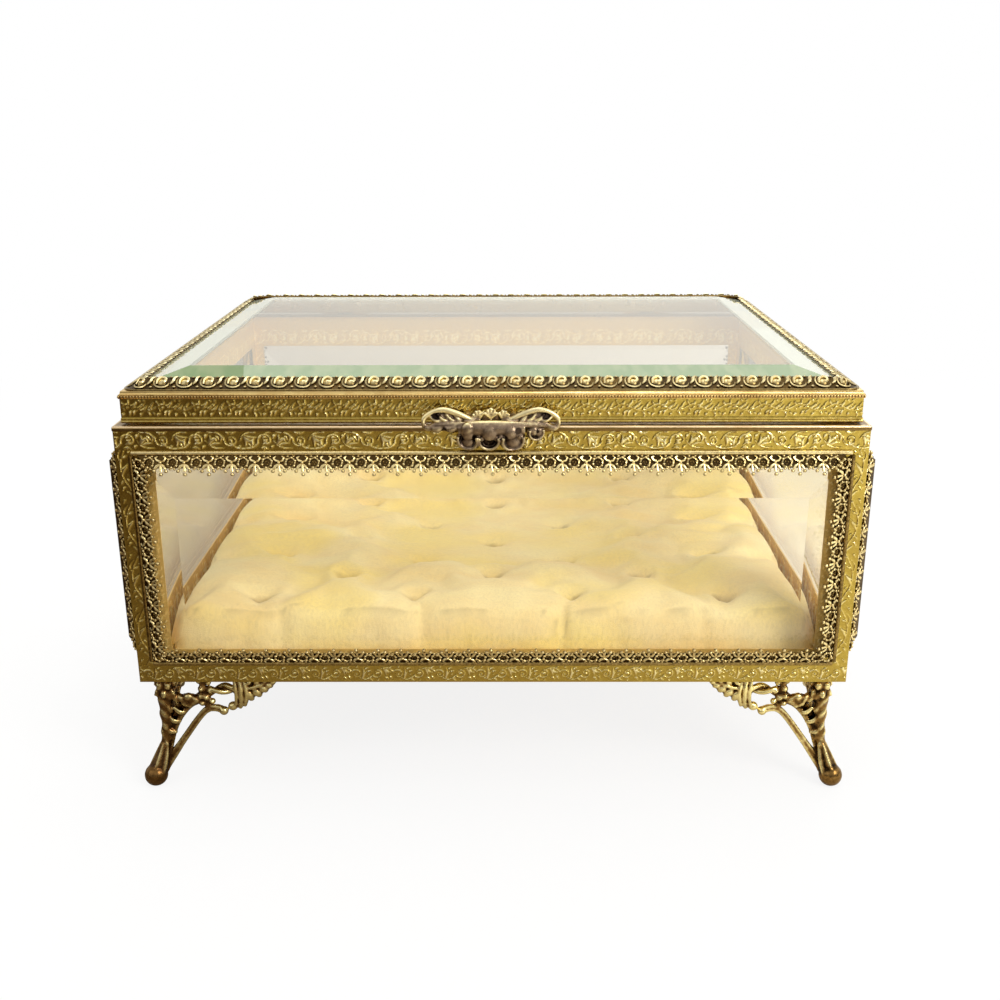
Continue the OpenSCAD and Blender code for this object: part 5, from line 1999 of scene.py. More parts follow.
@dataclass
class Feet:
    """The cast feet: a leafy leg at the corner on a ball, and a pierced wing along each wall."""

    casket: Casket
    finishes: Finishes
    plane: float = 5.0
    wing_len: float = 38.8
    flange: tuple[float, float] = (3.2, 6.9)
    flange_t: float = 1.2
    ball_in: float = 1.4
    ball_r: float = 3.4
    ball_z: float = -31.1
    voxel: float = 0.3

    def wing(self) -> Shape:
        """One wing along X, from the corner inwards, hanging under Z = 0, its outside towards -Y."""
        s, y, out = Shape(), self.plane, (0, -1, 0)
        low, high = self.flange
        s.block((low, low, -self.flange_t), (self.wing_len, high, 0))
        self._branch(s)
        gusset = [
            (15.2, y, -8.6, 0.95), (12.6, y, -9.9, 0.95), (10.2, y, -12.4, 0.95), (8.3, y, -15.4, 0.9),
            (6.9, y, -18.9, 0.8), (5.9, y, -22.6, 0.7),
        ]
        s.tube(gusset, 8, 20, 0.9, out)
        s.tube([(x - 1.4, y + 0.3, z + 1.0, 1.4 * r) for x, y, z, r in gusset], 8, 20, 0.35, out)
        for x, _, z, r in gusset[:-1]:
            spots = [(x - 2.6, y - 0.9, z + 2.2, 0.5), (x - 0.8, y - 1.3, z + 0.6, 0.85)]
            s.leaf([*spots, (x + 1.1, y - 0.4, z + 0.1, 0.35)], 0.55, out)
        hanger = [
            (16.0, y, -0.6, 1.15), (16.6, y - 0.2, -3.6, 0.95), (17.4, y, -7.2, 1.0), (17.7, y, -10.4, 1.0),
        ]
        s.tube(hanger, 8, 14, 0.9, out)
        flowers = (
            (15.7, -1.8, 1.0), (18.3, -2.3, 1.0), (16.2, -4.4, 1.1), (18.8, -5.0, 1.1), (17.4, -7.2, 1.2),
            (19.2, -8.4, 1.0), (16.2, -9.0, 1.0),
        )
        for x, z, r in flowers:
            s.ball((x, y - 0.6, z), (r, 0.9, r), 12, 6)
            s.ball((x, y - 1.4, z), (0.4 * r, 0.4, 0.4 * r), 8, 6)
        self._strut(s)
        self._collar(s)
        self._acanthus(s)
        return s

    def _branch(self, s: Shape) -> None:
        """The branch from the leg to the collar: rough near the leg, then two smooth twisted stems."""
        y = self.plane
        rough = smooth_path([(6.4, y, -6.6), (9, y, -7.6), (12.5, y, -8.0), (16.4, y, -7.4)], 30)
        smooth = smooth_path([(15.4, y, -6.6), (18, y, -5.6), (22, y, -4.7), (26.6, y, -4.6)], 30)
        for path, turns, spread, r in ((rough, 2.5, 0.8, 0.85), (smooth, 1.0, 1.0, 0.85)):
            for start in (0.0, math.pi):
                angle = start + np.linspace(0, turns * 2 * math.pi, len(path))
                strand = path + np.stack([0 * angle, spread * np.cos(angle), spread * np.sin(angle)], 1)
                s.tube([(*p, r) for p in strand], 8, 0, 1, (0, 1, 0))
        for x, z, r in ((12.2, -7.2, 1.5), (13.6, -8.6, 1.2), (11.0, -8.8, 1.2), (12.6, -9.6, 1.0)):
            s.ball((x, y - 0.6, z), (r, 1.2, r), 12, 8)

    def _strut(self, s: Shape) -> None:
        """The smooth strut with a groove along its middle, ending in a curl."""
        y = self.plane
        spine = [
            (3.2, y - 1.9, -30.2), (6.5, y - 0.7, -25.6), (10.5, y, -19.9), (14.9, y, -13.8),
            (17.6, y, -11.2), (20.2, y, -10.9), (22.2, y, -11.7),
        ]
        path = smooth_path(spine, 40)
        along = np.gradient(path, axis=0)
        along /= np.linalg.norm(along, axis=1)[:, None]
        across = np.stack([-along[:, 2], 0 * along[:, 0], along[:, 0]], 1)
        width = np.interp(np.linspace(0, 1, 40), [0, 0.35, 0.7, 1], [0.8, 0.5, 0.46, 0.5])
        for k in (-1, 1):
            edge = path + k * width[:, None] * across + [0, -0.35, 0]
            s.tube([(*p, 0.62 * w + 0.3) for p, w in zip(edge, width)], 8, 0, 1, (0, 1, 0))
        s.tube([(*(p + [0, 0.5, 0]), w + 0.5) for p, w in zip(path, width)], 8, 0, 0.6, (0, 1, 0))
        s.ball((22.3, y - 0.3, -11.7), (1.35, 1.4, 1.35), 14, 8)
        s.ball((25.0, y - 0.2, -10.2), (1.45, 1.4, 1.35), 14, 8)

    def _collar(self, s: Shape) -> None:
        """Three curved bands round the wing, where the acanthus springs."""
        turn = 2 * np.pi * np.arange(28) / 28
        for x, ry, rz, bow in ((25.8, 1.5, 4.7, 0.7), (27.2, 1.75, 5.1, 0.8), (28.6, 1.55, 4.4, 0.9)):
            z = -5.6 + rz * np.sin(turn)
            ring = np.stack([x + bow * (1 - ((z + 5.6) / rz) ** 2), self.plane - ry * np.cos(turn), z], 1)
            s.hoop(ring, 0.55, 7, (1, 0, 0))
        s.ball((27.2, self.plane, -5.5), (1.7, 1.1, 4.6), 14, 10)

    def _acanthus(self, s: Shape) -> None:
        """The leaf at the wing's tip, with lobes along its lower edge."""
        y, out = self.plane, (0, -1, 0)
        blade = [(28, -4.9, 3.7), (31, -4.2, 3.3), (34.5, -3.1, 2.5), (37.2, -1.9, 1.5), (38.4, -1.2, 0.5)]
        s.tube([(x, y, z, r) for x, z, r in blade], 12, 16, 0.2, out)
        lobes = (
            ((28.9, -4.4), (30.9, -8.2), 1.15), ((31.0, -4.2), (33.4, -6.9), 1.1),
            ((33.0, -3.6), (35.4, -5.4), 0.95), ((34.9, -2.9), (37.0, -3.9), 0.8),
            ((36.3, -2.0), (38.0, -2.5), 0.6),
        )
        for (x, z), (tx, tz), r in lobes:
            mid = (0.5 * (x + tx) + 0.3, y - 1.3, 0.5 * (z + tz) + 0.2)
            s.leaf([(x, y - 0.8, z, 0.5 * r), (*mid, r), (tx, y - 0.4, tz, 0.7 * r)], 0.6, out)
        for x, z, tx, tz in ((29.2, -3.0, 31.6, -1.3), (31.6, -2.6, 34.2, -1.0), (33.9, -2.0, 36.8, -0.7)):
            middle = ((x + tx) / 2, y - 1.4, (z + tz) / 2, 0.65)
            s.leaf([(x, y - 0.8, z, 0.3), middle, (tx, y - 0.6, tz, 0.2)], 0.7, out)
        vein = [(28.4, y - 1.0, -4.4, 0.55), (33, y - 1.4, -3.2, 0.5), (37.6, y - 0.5, -1.3, 0.25)]
        s.tube(vein, 6, 12, 1, out)

    def leg(self) -> Shape:
        """The leg at the corner: a column of twisted strands, a slim neck and a clawed ankle on a ball."""
        s = Shape()
        column = [
            (5.6, 5.6, -0.3, 2.4), (5.5, 5.5, -4, 2.6), (5.3, 5.3, -8.4, 2.1), (5.2, 5.2, -13, 1.8),
            (4.9, 4.9, -18, 1.5), (4.4, 4.4, -21.4, 1.4), (3.6, 3.6, -24.6, 1.75), (2.8, 2.8, -27.6, 2.4),
            (2.2, 2.2, -29.6, 2.6),
        ]
        s.tube(column, 14, 40, 1, (1, -1, 0))
        self._strands(s, smooth_path(column, 90))
        self._petals(s)
        for k in range(6):
            a = math.radians(60 * k + 15)
            start = (4.2 + 1.2 * math.cos(a), 4.2 + 1.2 * math.sin(a), -22.0, 0.45)
            mid = (3.1 + 2.2 * math.cos(a), 3.1 + 2.2 * math.sin(a), -26.6, 0.7)
            end = (1.8 + 2.9 * math.cos(a), 1.8 + 2.9 * math.sin(a), -30.4, 0.5)
            s.tube([start, mid, end], 7, 10, 1, (math.sin(a), -math.cos(a), 0.01))
        s.ball((self.ball_in, self.ball_in, self.ball_z), (self.ball_r, self.ball_r, self.ball_r), 28, 18)
        return s

    @staticmethod
    def _strands(s: Shape, path: Points) -> None:
        """Strands that twist round the column, each swelling where it comes to the front."""
        part = path[(path[:, 2] < -4.5) & (path[:, 2] > -22.5)]
        share = np.linspace(0, 1, len(part))
        for k in range(4):
            angle = 0.5 * math.pi * k + share * 2.2 * math.pi
            reach = 0.78 * part[:, 3]
            x, y = part[:, 0] + reach * np.cos(angle), part[:, 1] + reach * np.sin(angle)
            thick = 0.95 - 0.4 * share + 0.2 * np.cos(9 * math.pi * share + k)
            s.tube(list(zip(x, y, part[:, 2], thick)), 8, 0, 1, (1, -1, 0))

    @staticmethod
    def _petals(s: Shape) -> None:
        """Two rows of rounded petals round the column's head."""
        for z, reach, turn, r in ((-3.0, 2.3, 0, 1.2), (-5.6, 2.4, 30, 1.1)):
            for k in range(6):
                a = math.radians(60 * k + turn)
                x, y = 5.5 + reach * math.cos(a), 5.5 + reach * math.sin(a)
                s.ball((x, y, z), (0.9 * r, 0.9 * r, 1.15 * r), 10, 8)
                s.ball((x + 0.8 * math.cos(a), y + 0.8 * math.sin(a), z - 0.5), (0.4, 0.4, 0.5), 8, 6)

    def build(self) -> None:
        """Builds one foot and sets a mirrored copy of it under each corner."""
        shape, wing = self.leg(), self.wing()
        shape.extend(wing, Matrix.Identity(4))
        shape.extend(wing, Matrix(((0, 1, 0, 0), (1, 0, 0, 0), (0, 0, 1, 0), (0, 0, 0, 1))))
        cast = fused(shape, "foot", self.voxel, 1)
        points = mesh_points(cast)
        points[:, 2] = np.clip(points[:, 2], -self.casket.floor, 0)
        move_points(cast, points)
        ball = (self.ball_in, self.ball_in, self.ball_z)
        worn_relief(cast, 14, 0.24, [(ball, self.ball_r, 0.35)])
        reach = np.maximum(*points.T[:2])
        scale_relief(cast, 0.78 + 0.42 * ramp(reach, 16, 24) + 0.1 * ramp(reach, 24, 28))
        c = self.casket
        for word, sx, sy in (
            ("front_left", -1, -1), ("front_right", 1, -1), ("rear_left", -1, 1), ("rear_right", 1, 1),
        ):
            mesh = cast.copy()
            corner = Matrix.Translation((sx * c.half_w, sy * c.half_d + c.y_mid, c.floor))
            mesh.transform(Matrix.Scale(MM, 4) @ corner @ Matrix.Diagonal((-sx, -sy, 1, 1)))
            if sx * sy < 0:
                mesh.flip_normals()
            mesh.name = f"{word}_foot"
            dress(mesh, self.finishes.cast, 60)
            add_piece(f"{word}_cast_foot", mesh, "base", [f"{word}_foot"])
        bpy.data.meshes.remove(cast)


@dataclass
class Pull:
    """The cast pull on the front of the lid: two leaf wings, a crest, and shell cups under them."""

    casket: Casket
    finishes: Finishes
    back: float = 0.6
    voxel: float = 0.2
    # Round places darkened as painted shade in the casting's deep hollows.
    pockets: list[tuple[Station, float, float]] = field(default_factory=list)

    def wing(self) -> Shape:
        """The right-hand wing, in the front wall's axes."""
        s = Shape()
        arch = [
            (2.6, 77.3, 2.2, 0.7), (5.2, 78.2, 1.9, 0.75), (8.6, 79.8, 1.9, 0.8), (12.4, 80.9, 1.9, 0.75),
            (15.4, 80.3, 1.8, 0.7), (17.6, 78.8, 1.8, 0.7), (18.0, 77.2, 1.8, 0.75), (17.0, 76.3, 1.9, 0.6),
        ]
        s.tube(arch, 9, 40, 1, OUTWARDS)
        sheet = [(3.5, 77.0, 1.2), (7, 77.8, 1.7), (10.5, 78.6, 1.9), (13.4, 78.7, 1.7), (15.2, 78.0, 1.3)]
        s.tube([(x, y, 1.2, r) for x, y, r in sheet], 10, 24, 0.35, OUTWARDS)
        for k in range(5):
            start, tip = (4.4 + 2.1 * k, 77.2 + 0.12 * k), (7.6 + 2.2 * k, 79.3 + 0.55 * math.sin(0.8 * k))
            middle = (0.5 * (start[0] + tip[0]) + 0.3, 0.5 * (start[1] + tip[1]) - 0.3)
            s.tube([(*start, 1.9, 0.5), (*middle, 2.2, 0.5), (*tip, 1.8, 0.28)], 6, 10, 1, OUTWARDS)
        s.tube([(15.0, 76.8, 1.8, 0.8), (16.6, 76.0, 1.9, 0.95), (18.2, 76.6, 1.6, 0.6)], 8, 10, 1, OUTWARDS)
        return s

    def crest(self, s: Shape) -> None:
        """Three fans over the middle, each of a few ribs round a hollow."""
        for x, y, r, lean in ((-3.3, 79.3, 1.9, 25), (0, 79.9, 1.9, 0), (3.3, 79.3, 1.9, -25)):
            s.ball((x, y - 0.3, 0.9), (0.85 * r, 0.85 * r, 0.7), 12, 6)
            for way in (-70, -35, 0, 35, 70):
                a = math.radians(90 + lean + way)
                tip = (x + 0.95 * r * math.cos(a), y - 0.5 + 1.05 * r * math.sin(a))
                s.tube([(x, y - 1.6, 1.5, 0.36), (*tip, 1.9, 0.42)], 6, 0, 1, (0, 0, 1))
            self.pockets.append(((x, y - 0.1, 1.3), 0.7, 0.2))

    def cup(
        self, s: Shape, centre: Station, r: float, tilt: tuple[float, float],
        hollows: Sequence[tuple[float, float, float]], lumps: Sequence[tuple[float, float, float]],
    ) -> None:
        """A shell that opens downwards: a U-shaped rim round hollows darkened with painted shade, and rubbed
        lumps.

        Args:
            s: The heap that it is added to.
            centre: Middle of its rim.
            r: Radius over its rim.
            tilt: How far it leans back and turns aside, in degrees.
            hollows: Each hollow's place across and up, and its radius, in shares of the shell's.
            lumps: The same of each lump.
        """
        about_x, about_y = (math.radians(angle) for angle in tilt)
        turns = Matrix.Rotation(about_y, 3, "Y") @ Matrix.Rotation(about_x, 3, "X")
        turn = np.array(turns)

        def at(x: float, y: float, z: float) -> Points:
            """A point of the shell, in shares of its radius."""
            return turn @ np.array((x * r, y * r, z * r)) + np.array(centre)

        face = tuple(turn @ np.array((0, 0, 1.0)))
        s.ball(tuple(at(0, -0.1, -1.1)), (0.95 * r, 0.95 * r, 0.75 * r), 16, 10)
        for depth, reach, thick in ((-0.5, 0.88, 0.22), (-0.12, 0.86, 0.15)):
            bends = [math.radians(a) for a in range(-200, 30, 20)]
            rim = [(*at(reach * math.cos(a), reach * math.sin(a), depth), thick * r) for a in bends]
            s.tube(rim, 7, 26, 1, face)
        for x, y, size in lumps:
            s.ball(tuple(at(x, y, -0.5)), (size * r, size * r, 0.35 * r), 12, 7)
        for x, y, size in hollows:
            self.pockets.append((tuple(at(x, y, -0.3)), size * r, 0.1))

    def _body(self) -> Shape:
        """The whole pull as a heap of forms."""
        s = self.wing()
        s.extend(self.wing(), Matrix.Diagonal((-1, 1, 1, 1)))
        self.crest(s)
        bar = [(-15, 76.8, 1.9, 0.7), (-8, 77.0, 2.6, 1.0), (0, 77.2, 3.0, 1.15), (8, 77.0, 2.6, 1.0)]
        s.tube([*bar, (15, 76.8, 1.9, 0.7)], 10, 30, 1, OUTWARDS)
        s.ball((0, 75.4, 1.9), (8.4, 2.6, 1.3), 20, 10)
        cups = (
            ((-6.3, 73.0, 4.4), 3.1, (16, -14), ((-0.62, 0.05, 0.24), (0.58, 0.25, 0.2)),
             ((0.05, 0.45, 0.62), (0, -0.3, 0.62), (0, 0.9, 0.6))),
            ((-0.5, 72.9, 4.9), 3.0, (18, 0), ((-0.3, -0.35, 0.24), (0.25, -0.4, 0.28), (0, -0.1, 0.2)),
             ((0.05, 0.6, 0.75), (0.7, 0, 0.3), (-0.7, 0, 0.3))),
            ((6.0, 72.9, 4.6), 3.3, (16, 14), ((0.4, 0.8, 0.28), (-0.6, 0.2, 0.2)),
             ((0.1, -0.25, 0.66), (-0.2, 0.55, 0.6), (0.6, 0.2, 0.4))),
            ((12.2, 74.9, 3.4), 2.3, (8, 18), ((0.1, 0.1, 0.24),), ((-0.3, 0.1, 0.6), (0.35, -0.1, 0.6))),
        )
        for cup in cups:
            self.cup(s, *cup)
        for stations, sides, rings, flat in (
            ([(-8.6, 75.9, 3.0, 1.4), (-3, 75.9, 3.6, 1.7), (3, 75.9, 3.6, 1.7), (9, 75.9, 3.0, 1.4)],
             10, 24, 0.6),
            ([(-9.0, 76.6, 2.7, 0.9), (-10.6, 76.0, 2.7, 1.1), (-12.2, 76.2, 2.3, 0.8)], 9, 12, 1),
            ([(-12.4, 76.4, 2.2, 0.7), (-14.4, 75.8, 2.2, 1.0), (-16.4, 76.4, 1.9, 0.7)], 9, 12, 1),
        ):
            s.tube(stations, sides, rings, flat, OUTWARDS)
        self.pockets.append(((-12.2, 75.7, 2.6), 0.9, 0.1))
        self.pockets += [((14.6 * k, 79.2, 1.6), 1.4, 0.1) for k in (-1, 1)]
        return s

    def build(self) -> None:
        """Builds the pull as one casting."""
        span = Span.of("lid_pull")
        cast = fused(self._body(), "pull", self.voxel, 1)
        points = mesh_points(cast)
        points[:, 2] = np.maximum(points[:, 2], self.back)
        points[:, 1] = np.clip(points[:, 1], span.low.z - self.casket.floor, span.high.z - self.casket.floor)
        points[:, 0] = np.clip(points[:, 0], span.low.x, span.high.x)
        move_points(cast, points)
        worn_relief(cast, 14, 0.26, self.pockets)
        # Painted highlight: the casting is brighter along its top, where the light falls from above.
        scale_relief(cast, 0.78 + 0.62 * ramp(points[:, 1], 76.8, 78.6))
        cast.transform(Matrix.Scale(MM, 4) @ self.casket.wall(Side.FRONT).matrix())
        dress(cast, self.finishes.pull, 60)
        add_piece("lid_cast_pull", cast, "lid", ["lid_pull"])
        self._pad()

    def _pad(self) -> None:
        """Builds the pad between the pull and the lid's band, which its screws pass through."""
        wall, band = self.casket.wall(Side.FRONT), self.casket.band
        gap = self.casket.base.low.y - band.low.y
        low = band.low.z - self.casket.floor + 0.6
        s = Shape()
        s.block((-7.5, low, gap), (7.5, low + 2.4, self.back + 0.3))
        pad = build_mesh("lid_pull_pad", wall.put(np.vstack(s.points)), np.array(s.faces))
        set_relief(pad, np.full(len(pad.vertices), 0.4))
        dress(pad, self.finishes.pull)
        add_piece("lid_pull_pad", pad, "lid")


@dataclass
class Cushion:
    """The tufted velvet cushion: a closed pad that is blown up as cloth, then drawn in at its tufts."""

    casket: Casket
    finishes: Finishes
    tuft_x: float = 46
    tuft_y: float = 17.2
    rows: int = 8
    tuft_depth: float = 3.6
    tuft_r: float = 3.4
    tuft_edge: float = 8
    hem: float = 2.2
    cells_x: int = 18
    cells_y: int = 6
    edge_h: float = 11.6
    crown_h: float = 17.2
    side_r: float = 5
    roll: float = 14
    pressure: float = 4
    slack: float = -0.07
    steps: int = 20
    cap: float = 2.6
    welt: float = 0.55
    welt_in: float = 3.0

    def tufts(self) -> Points:
        """Where the tufts are, in rows that are offset from each other."""
        spots = []
        for row in range(self.rows):
            y = (row - (self.rows - 1) / 2) * self.tuft_y
            odd = row % 2
            spots += [((k + 0.5 * (1 - odd)) * self.tuft_x, y) for k in range(-3, 3)]
        half = Span.of("cushion").high.x - self.tuft_edge
        return np.array([s for s in spots if abs(s[0]) < half])

    def _form(self) -> tuple[Points, Points, int]:
        """The closed pad before it is blown up.

        Returns:
            Its points, its four-sided faces, and how many points its upper side has.
        """
        span = Span.of("cushion")
        dx, dy = self.tuft_x / self.cells_x, self.tuft_y / self.cells_y
        nx, ny = int((span.high.x - 0.5) / dx), int(((span.high.y - span.low.y) / 2 - 0.1) / dy)
        xs, ys = np.arange(-nx, nx + 1) * dx, np.arange(-ny, ny + 1) * dy
        gx, gy = np.meshgrid(xs, ys)
        hx, hy = xs[-1], ys[-1]
        inset = np.minimum(hx - abs(gx), hy - abs(gy))
        dome = np.sqrt(np.clip(1 - (1 - np.clip(inset / self.roll, 0, 1)) ** 2, 0, 1))
        side = np.sqrt(np.clip(1 - (1 - np.clip(inset / self.side_r, 0, 1)) ** 2, 0, 1))
        top = self.hem + (self.edge_h - self.hem) * side + (self.crown_h - self.edge_h) * dome
        for tx, ty in self.tufts():
            far = np.hypot(gx - tx, gy - ty)
            top -= self.tuft_depth * np.exp(-((far / self.tuft_r) ** 2)) * side
        low = span.low.z
        upper = np.stack([gx.ravel(), gy.ravel() + self.casket.y_mid, low + top.ravel()], 1)
        lower = np.stack([gx.ravel(), gy.ravel() + self.casket.y_mid, np.full(gx.size, low + 0.05)], 1)
        count, cols = gx.size, len(xs)
        j, i = np.meshgrid(np.arange(len(ys) - 1), np.arange(cols - 1), indexing="ij")
        a = (j * cols + i).ravel()
        faces = np.stack([a, a + 1, a + 1 + cols, a + cols], 1)
        quads = np.concatenate([faces, faces[:, ::-1] + count, StampedSheet.rims(faces, count)])
        return np.vstack([upper, lower]), quads, count

    def _blow(self, points: Points, quads: Points, count: int) -> Points:
        """Blows the pad up as cloth that is held at its tufts and its underside.

        Args:
            points: Points of the pad, in millimetres.
            quads: Its faces.
            count: How many of its points are on the upper side.

        Returns:
            The points after the blow, none moved further than the cap.
        """
        cloth = new_object("cushion_cloth", build_mesh("cushion_cloth", points, quads))
        held = cloth.vertex_groups.new(name="held")
        held.add(list(range(count, len(points))), 1.0, "REPLACE")
        for tx, ty in self.tufts():
            far = np.hypot(points[:count, 0] - tx, points[:count, 1] - self.casket.y_mid - ty)
            held.add([int(np.argmin(far))], 1.0, "REPLACE")
        sim = cloth.modifiers.new("blow", "CLOTH")
        sim.settings.quality = 6
        sim.settings.mass = 0.3
        sim.settings.bending_stiffness = 0.2
        sim.settings.tension_stiffness = 12
        sim.settings.compression_stiffness = 12
        sim.settings.use_pressure = True
        sim.settings.uniform_pressure_force = self.pressure
        sim.settings.shrink_min = self.slack
        sim.settings.vertex_group_mass = "held"
        sim.settings.effector_weights.gravity = 0
        sim.collision_settings.use_collision = False
        sim.collision_settings.use_self_collision = False
        sim.point_cache.frame_start = 1
        sim.point_cache.frame_end = self.steps
        scene = bpy.context.scene
        for step in range(1, self.steps + 1):
            scene.frame_set(step)
        blown = mesh_points(evaluated_mesh(cloth)) / MM
        scene.frame_set(1)
        move = blown - points
        far = np.linalg.norm(move, axis=1)
        return points + move * np.minimum(1, self.cap / np.maximum(far, 1e-6))[:, None]

    def _creases(self, points: Points) -> tuple[Points, Points]:
        """Draws the velvet in round each tuft, in pits, pleats and soft sideways wrinkles.

        Args:
            points: Points of the pad, in millimetres.

        Returns:
            The moved points, and each point's brightness, lowered by painted shade in the creases round the
            tufts, along a fold line inside the welt and on the sides.
        """
        span = Span.of("cushion")
        x, y = points[:, 0], points[:, 1] - self.casket.y_mid
        upper = ramp(points[:, 2], span.low.z + 4, span.low.z + 7)
        sink = np.zeros(len(points))
        dark = np.zeros(len(points))
        step_x, step_y = self.tuft_x / 2, self.tuft_y
        reach = math.hypot(step_x, step_y)
        for n, (tx, ty) in enumerate(self.tufts()):
            dx, dy = x - tx, y - ty
            far = np.hypot(dx, dy)
            angle = np.arctan2(dy, dx)
            sink += 0.9 * np.exp(-((far / 1.7) ** 2))
            sink += 0.3 * np.exp(-far / 5) * np.cos(7 * angle + n) * ramp(far, 0.5, 2.5)
            slant = 0.25 * math.sin(2.3 * n) * dx + 0.07 * dx * dx * math.cos(n)
            # Painted shade: a short dark mark under each tuft, and darker lines along its pleats.
            dark += 1.4 * np.exp(-((dx / 2.4) ** 2) - ((dy - 0.3 + slant) / 0.9) ** 2)
            for way, length, depth, width in ((1, 17, 1.1, 1.4), (-1, 15, 1.0, 1.5)):
                run = dx * way
                bow = 0.06 * run * math.sin(1.7 * n + way) + 0.9 * np.sin(0.22 * run)
                line = np.exp(-(((dy - bow) / (width + 0.06 * abs(run))) ** 2))
                line = line * ramp(-run, -length, 0) * (run > 0)
                sink += depth * line
                dark += 0.45 * line * ramp(-run, -11, 0)
            for sx, sy in ((1, 1), (1, -1), (-1, 1), (-1, -1)):
                run = (dx * sx * step_x + dy * sy * step_y) / reach
                off = (dx * sx * step_y - dy * sy * step_x) / reach
                sink += 0.3 * np.exp(-((off / 1.6) ** 2)) * ramp(-run, -12, 0) * (run > 0)
        inset = np.minimum(abs(x).max() - abs(x), abs(y).max() - abs(y))
        moved = points.copy()
        wave = 0.4 * np.sin(0.21 * x) + 0.3 * np.sin(0.53 * x + 1)
        moved[:, 2] += self.welt * np.exp(-(((inset - self.welt_in) / 1.0) ** 2)) * upper - sink * upper
        low = span.low.z
        # Painted shade on the cushion's sides, and along a fold line inside the welt.
        side = ramp(-inset, -self.welt_in - 0.4, -self.welt_in + 0.5) * ramp(points[:, 2], low + 1, low + 3)
        fold = 0.5 * np.exp(-(((inset - self.welt_in - 1.1 - wave) / 0.5) ** 2)) * upper
        return moved, 1 - np.clip(dark * upper + 0.2 * side + fold, 0, 1)

    def build(self) -> None:
        """Builds the cushion."""
        span = Span.of("cushion")
        points, quads, count = self._form()
        points = self._blow(points, quads, count)
        points[:, 0] = np.clip(points[:, 0], span.low.x - 0.4, span.high.x + 0.4)
        points[:, 1] = np.clip(points[:, 1], span.low.y - 0.4, span.high.y + 0.4)
        points[:, 2] = np.maximum(points[:, 2], span.low.z + 0.03)
        pad = new_object("cushion_pad", build_mesh("cushion_pad", points, quads))
        finer = pad.modifiers.new("finer", "SUBSURF")
        finer.levels = finer.render_levels = 1
        mesh = evaluated_mesh(pad)
        creased, worn = self._creases(mesh_points(mesh) / MM)
        move_points(mesh, creased * MM)
        set_relief(mesh, worn)
        mesh.name = "cushion"
        dress(mesh, self.finishes.velvet, 180)
        piece = add_piece("velvet_cushion", mesh, "base", ["cushion"])


@dataclass
class Fittings:
    """The pieces that keep the shape they were built with, and only take a finish."""

    finishes: Finishes

    def build(self) -> None:
        """Gives every remaining node its material."""
        f = self.finishes
        finishes = {
            f.wall_glass: [f"{side.word}_glass" for side in Side],
            f.lid_glass: ["lid_glass"],
            f.board: ["cushion_board"],
            f.smooth: [
                "lid_glass_stop", "bottom_plate",
                *[f"{end}_{body}_hinge_leaf" for end in ("left", "right") for body in ("base", "lid")],
            ],
            f.fixing: [
                "foot_screws", "foot_nuts", "left_hinge_pin", "right_hinge_pin", "base_hinge_rivets",
                "lid_hinge_rivets", "lid_pull_screws",
            ],
        }
        for material, nodes in finishes.items():
            for node in nodes:
                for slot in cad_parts[node].material_slots:
                    slot.material = material
                LOG.info("%s: finished with %s", node, material.name)


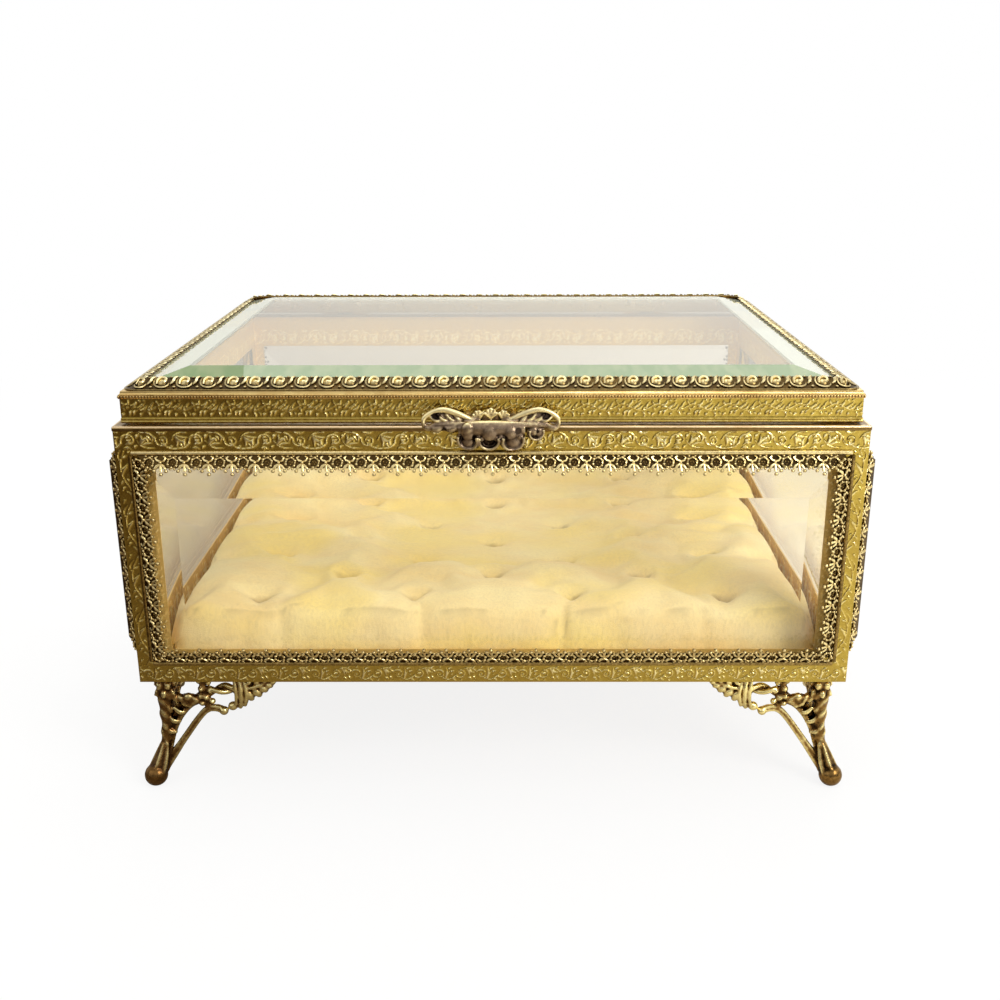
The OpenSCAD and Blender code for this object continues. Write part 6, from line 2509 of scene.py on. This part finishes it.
@dataclass
class Studio:
    """The camera at the photograph's angle, a pale floor, and soft light."""

    finishes: Finishes
    eye: tuple[float, float, float] = (3.96, -379.8, 188.8)
    pitch: float = 18.34
    yaw: float = -0.31
    roll: float = -0.15
    lens: float = 41.8
    sensor: float = 36
    floor_half: float = 12
    glow: float = 1.3
    left_glow: float = 0.55
    beyond: Colour = (0.66, 0.64, 0.58)
    front_glow: tuple[tuple[float, float], ...] = ((0, 0.3), (0.5, 0.28), (0.6, 0.42), (0.75, 0.85), (1, 0.8))
    rear_glow: tuple[tuple[float, float], ...] = ((0, 0.5), (0.49, 0.9), (0.52, 1.1), (0.65, 1.0), (1, 0.75))

    def camera(self) -> None:
        """Sets the camera up."""
        p, y, r = (math.radians(a) for a in (self.pitch, self.yaw, self.roll))
        ahead = Vector((math.sin(y) * math.cos(p), math.cos(y) * math.cos(p), -math.sin(p)))
        right = Vector((math.cos(y), -math.sin(y), 0))
        up = right.cross(ahead)
        turned_right = math.cos(r) * right + math.sin(r) * up
        turned_up = math.cos(r) * up - math.sin(r) * right
        camera = bpy.data.cameras.new("camera")
        camera.lens = self.lens
        camera.sensor_width = self.sensor
        camera.clip_start = 0.01
        view = new_object("camera", camera)
        turn = Matrix((turned_right, turned_up, -ahead)).transposed().to_4x4()
        view.matrix_world = Matrix.Translation(Vector(self.eye) * MM) @ turn
        bpy.context.scene.camera = view

    @staticmethod
    def lamp(name: str, place: Station, aim: Station, size: float, watts: float, colour: Colour) -> None:
        """Adds a soft square lamp.

        Args:
            name: Its name.
            place: Where it hangs, in metres.
            aim: The point that it faces.
            size: Length of its side.
            watts: Its power.
            colour: Colour of its light.
        """
        light = bpy.data.lights.new(name, "AREA")
        light.shape = "RECTANGLE"
        light.size = light.size_y = size
        light.energy = watts
        light.color = colour
        lamp = new_object(name, light)
        lamp.location = place
        lamp.rotation_euler = (Vector(aim) - Vector(place)).to_track_quat("-Z", "Y").to_euler()

    def world(self) -> None:
        """Fills the room with light: white to look at, and in reflections a soft room, brighter behind."""
        world = bpy.data.worlds.new("room")
        bpy.context.scene.world = world
        world.use_nodes = True
        t = Tree(world.node_tree)
        world.node_tree.nodes.clear()
        x, y, z = t.axes(t.add("ShaderNodeTexCoord").outputs["Generated"])[:3]
        up = t.span(z, -1, 1, 0, 1)
        front = t.ramp(up, [(place, (v, 0.98 * v, 0.94 * v)) for place, v in self.front_glow])
        rear = t.ramp(up, [(place, (v, 0.985 * v, 0.93 * v)) for place, v in self.rear_glow])
        room = t.mix(t.span(y, -0.25, 0.4, 0, 1), front, rear)
        sides = t.ramp(t.span(x, -1, 1, 0, 1), [(0, (self.left_glow,) * 3), (1, (1, 1, 1))])
        lit = t.mix(1, room, sides, "MULTIPLY")
        shades = [
            t.set(t.add("ShaderNodeBackground"), Color=colour, Strength=strength)
            for colour, strength in ((lit, self.glow), ((1, 1, 1), 1.0), (self.beyond, 1.0))
        ]
        path = t.add("ShaderNodeLightPath").outputs
        through = t.blend(path["Is Transmission Ray"], shades[0], shades[2])
        out = t.add("ShaderNodeOutputWorld")
        t.set(out, Surface=t.blend(path["Is Camera Ray"], through, shades[1]).outputs[0])

    def floor(self) -> None:
        """Lays the floor."""
        h = self.floor_half / MM
        corners = np.array([(-h, -h, 0), (h, -h, 0), (h, h, 0), (-h, h, 0)])
        mesh = build_mesh("floor", corners, np.array([[0, 1, 2, 3]]))
        mesh.materials.append(self.finishes.floor)
        floor = new_object("floor", mesh)

    def build(self) -> None:
        """Sets the room up, its lamps placed round the casket."""
        bpy.context.scene.view_settings.view_transform = "Standard"
        self.world()
        self.floor()
        self.lamp("key", (0.8, -0.7, 0.75), (0, 0, 0.06), 0.5, 6.5, (1.0, 0.97, 0.92))
        self.lamp("fill", (-0.9, -0.7, 0.6), (0, 0, 0.06), 0.8, 1.2, (0.95, 0.97, 1.0))
        self.lamp("back", (0.1, 0.9, 0.9), (0, 0, 0.08), 0.9, 4, (1, 1, 1))
        self.lamp("top", (0, 0, 1.3), (0, 0, 0), 0.8, 3, (1, 1, 1))


def main() -> None:
    """Builds the casket's looks."""
    logging.basicConfig(level=logging.INFO, format="%(name)s: %(message)s")
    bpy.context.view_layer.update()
    finishes = Finishes()
    studio = Studio(finishes)
    studio.camera()
    casket = Casket()
    for part in (
        Frames(casket, finishes),
        Liners(casket, finishes),
        Edgings(casket, finishes),
        Mouldings(casket, finishes),
        LidBand(casket, finishes),
        Gallery(casket, finishes),
        Feet(casket, finishes),
        Pull(casket, finishes),
        Cushion(casket, finishes),
        Fittings(finishes),
        studio,
    ):
        LOG.info("building %s", type(part).__name__)
        part.build()


if __name__ == "__main__":
    main()
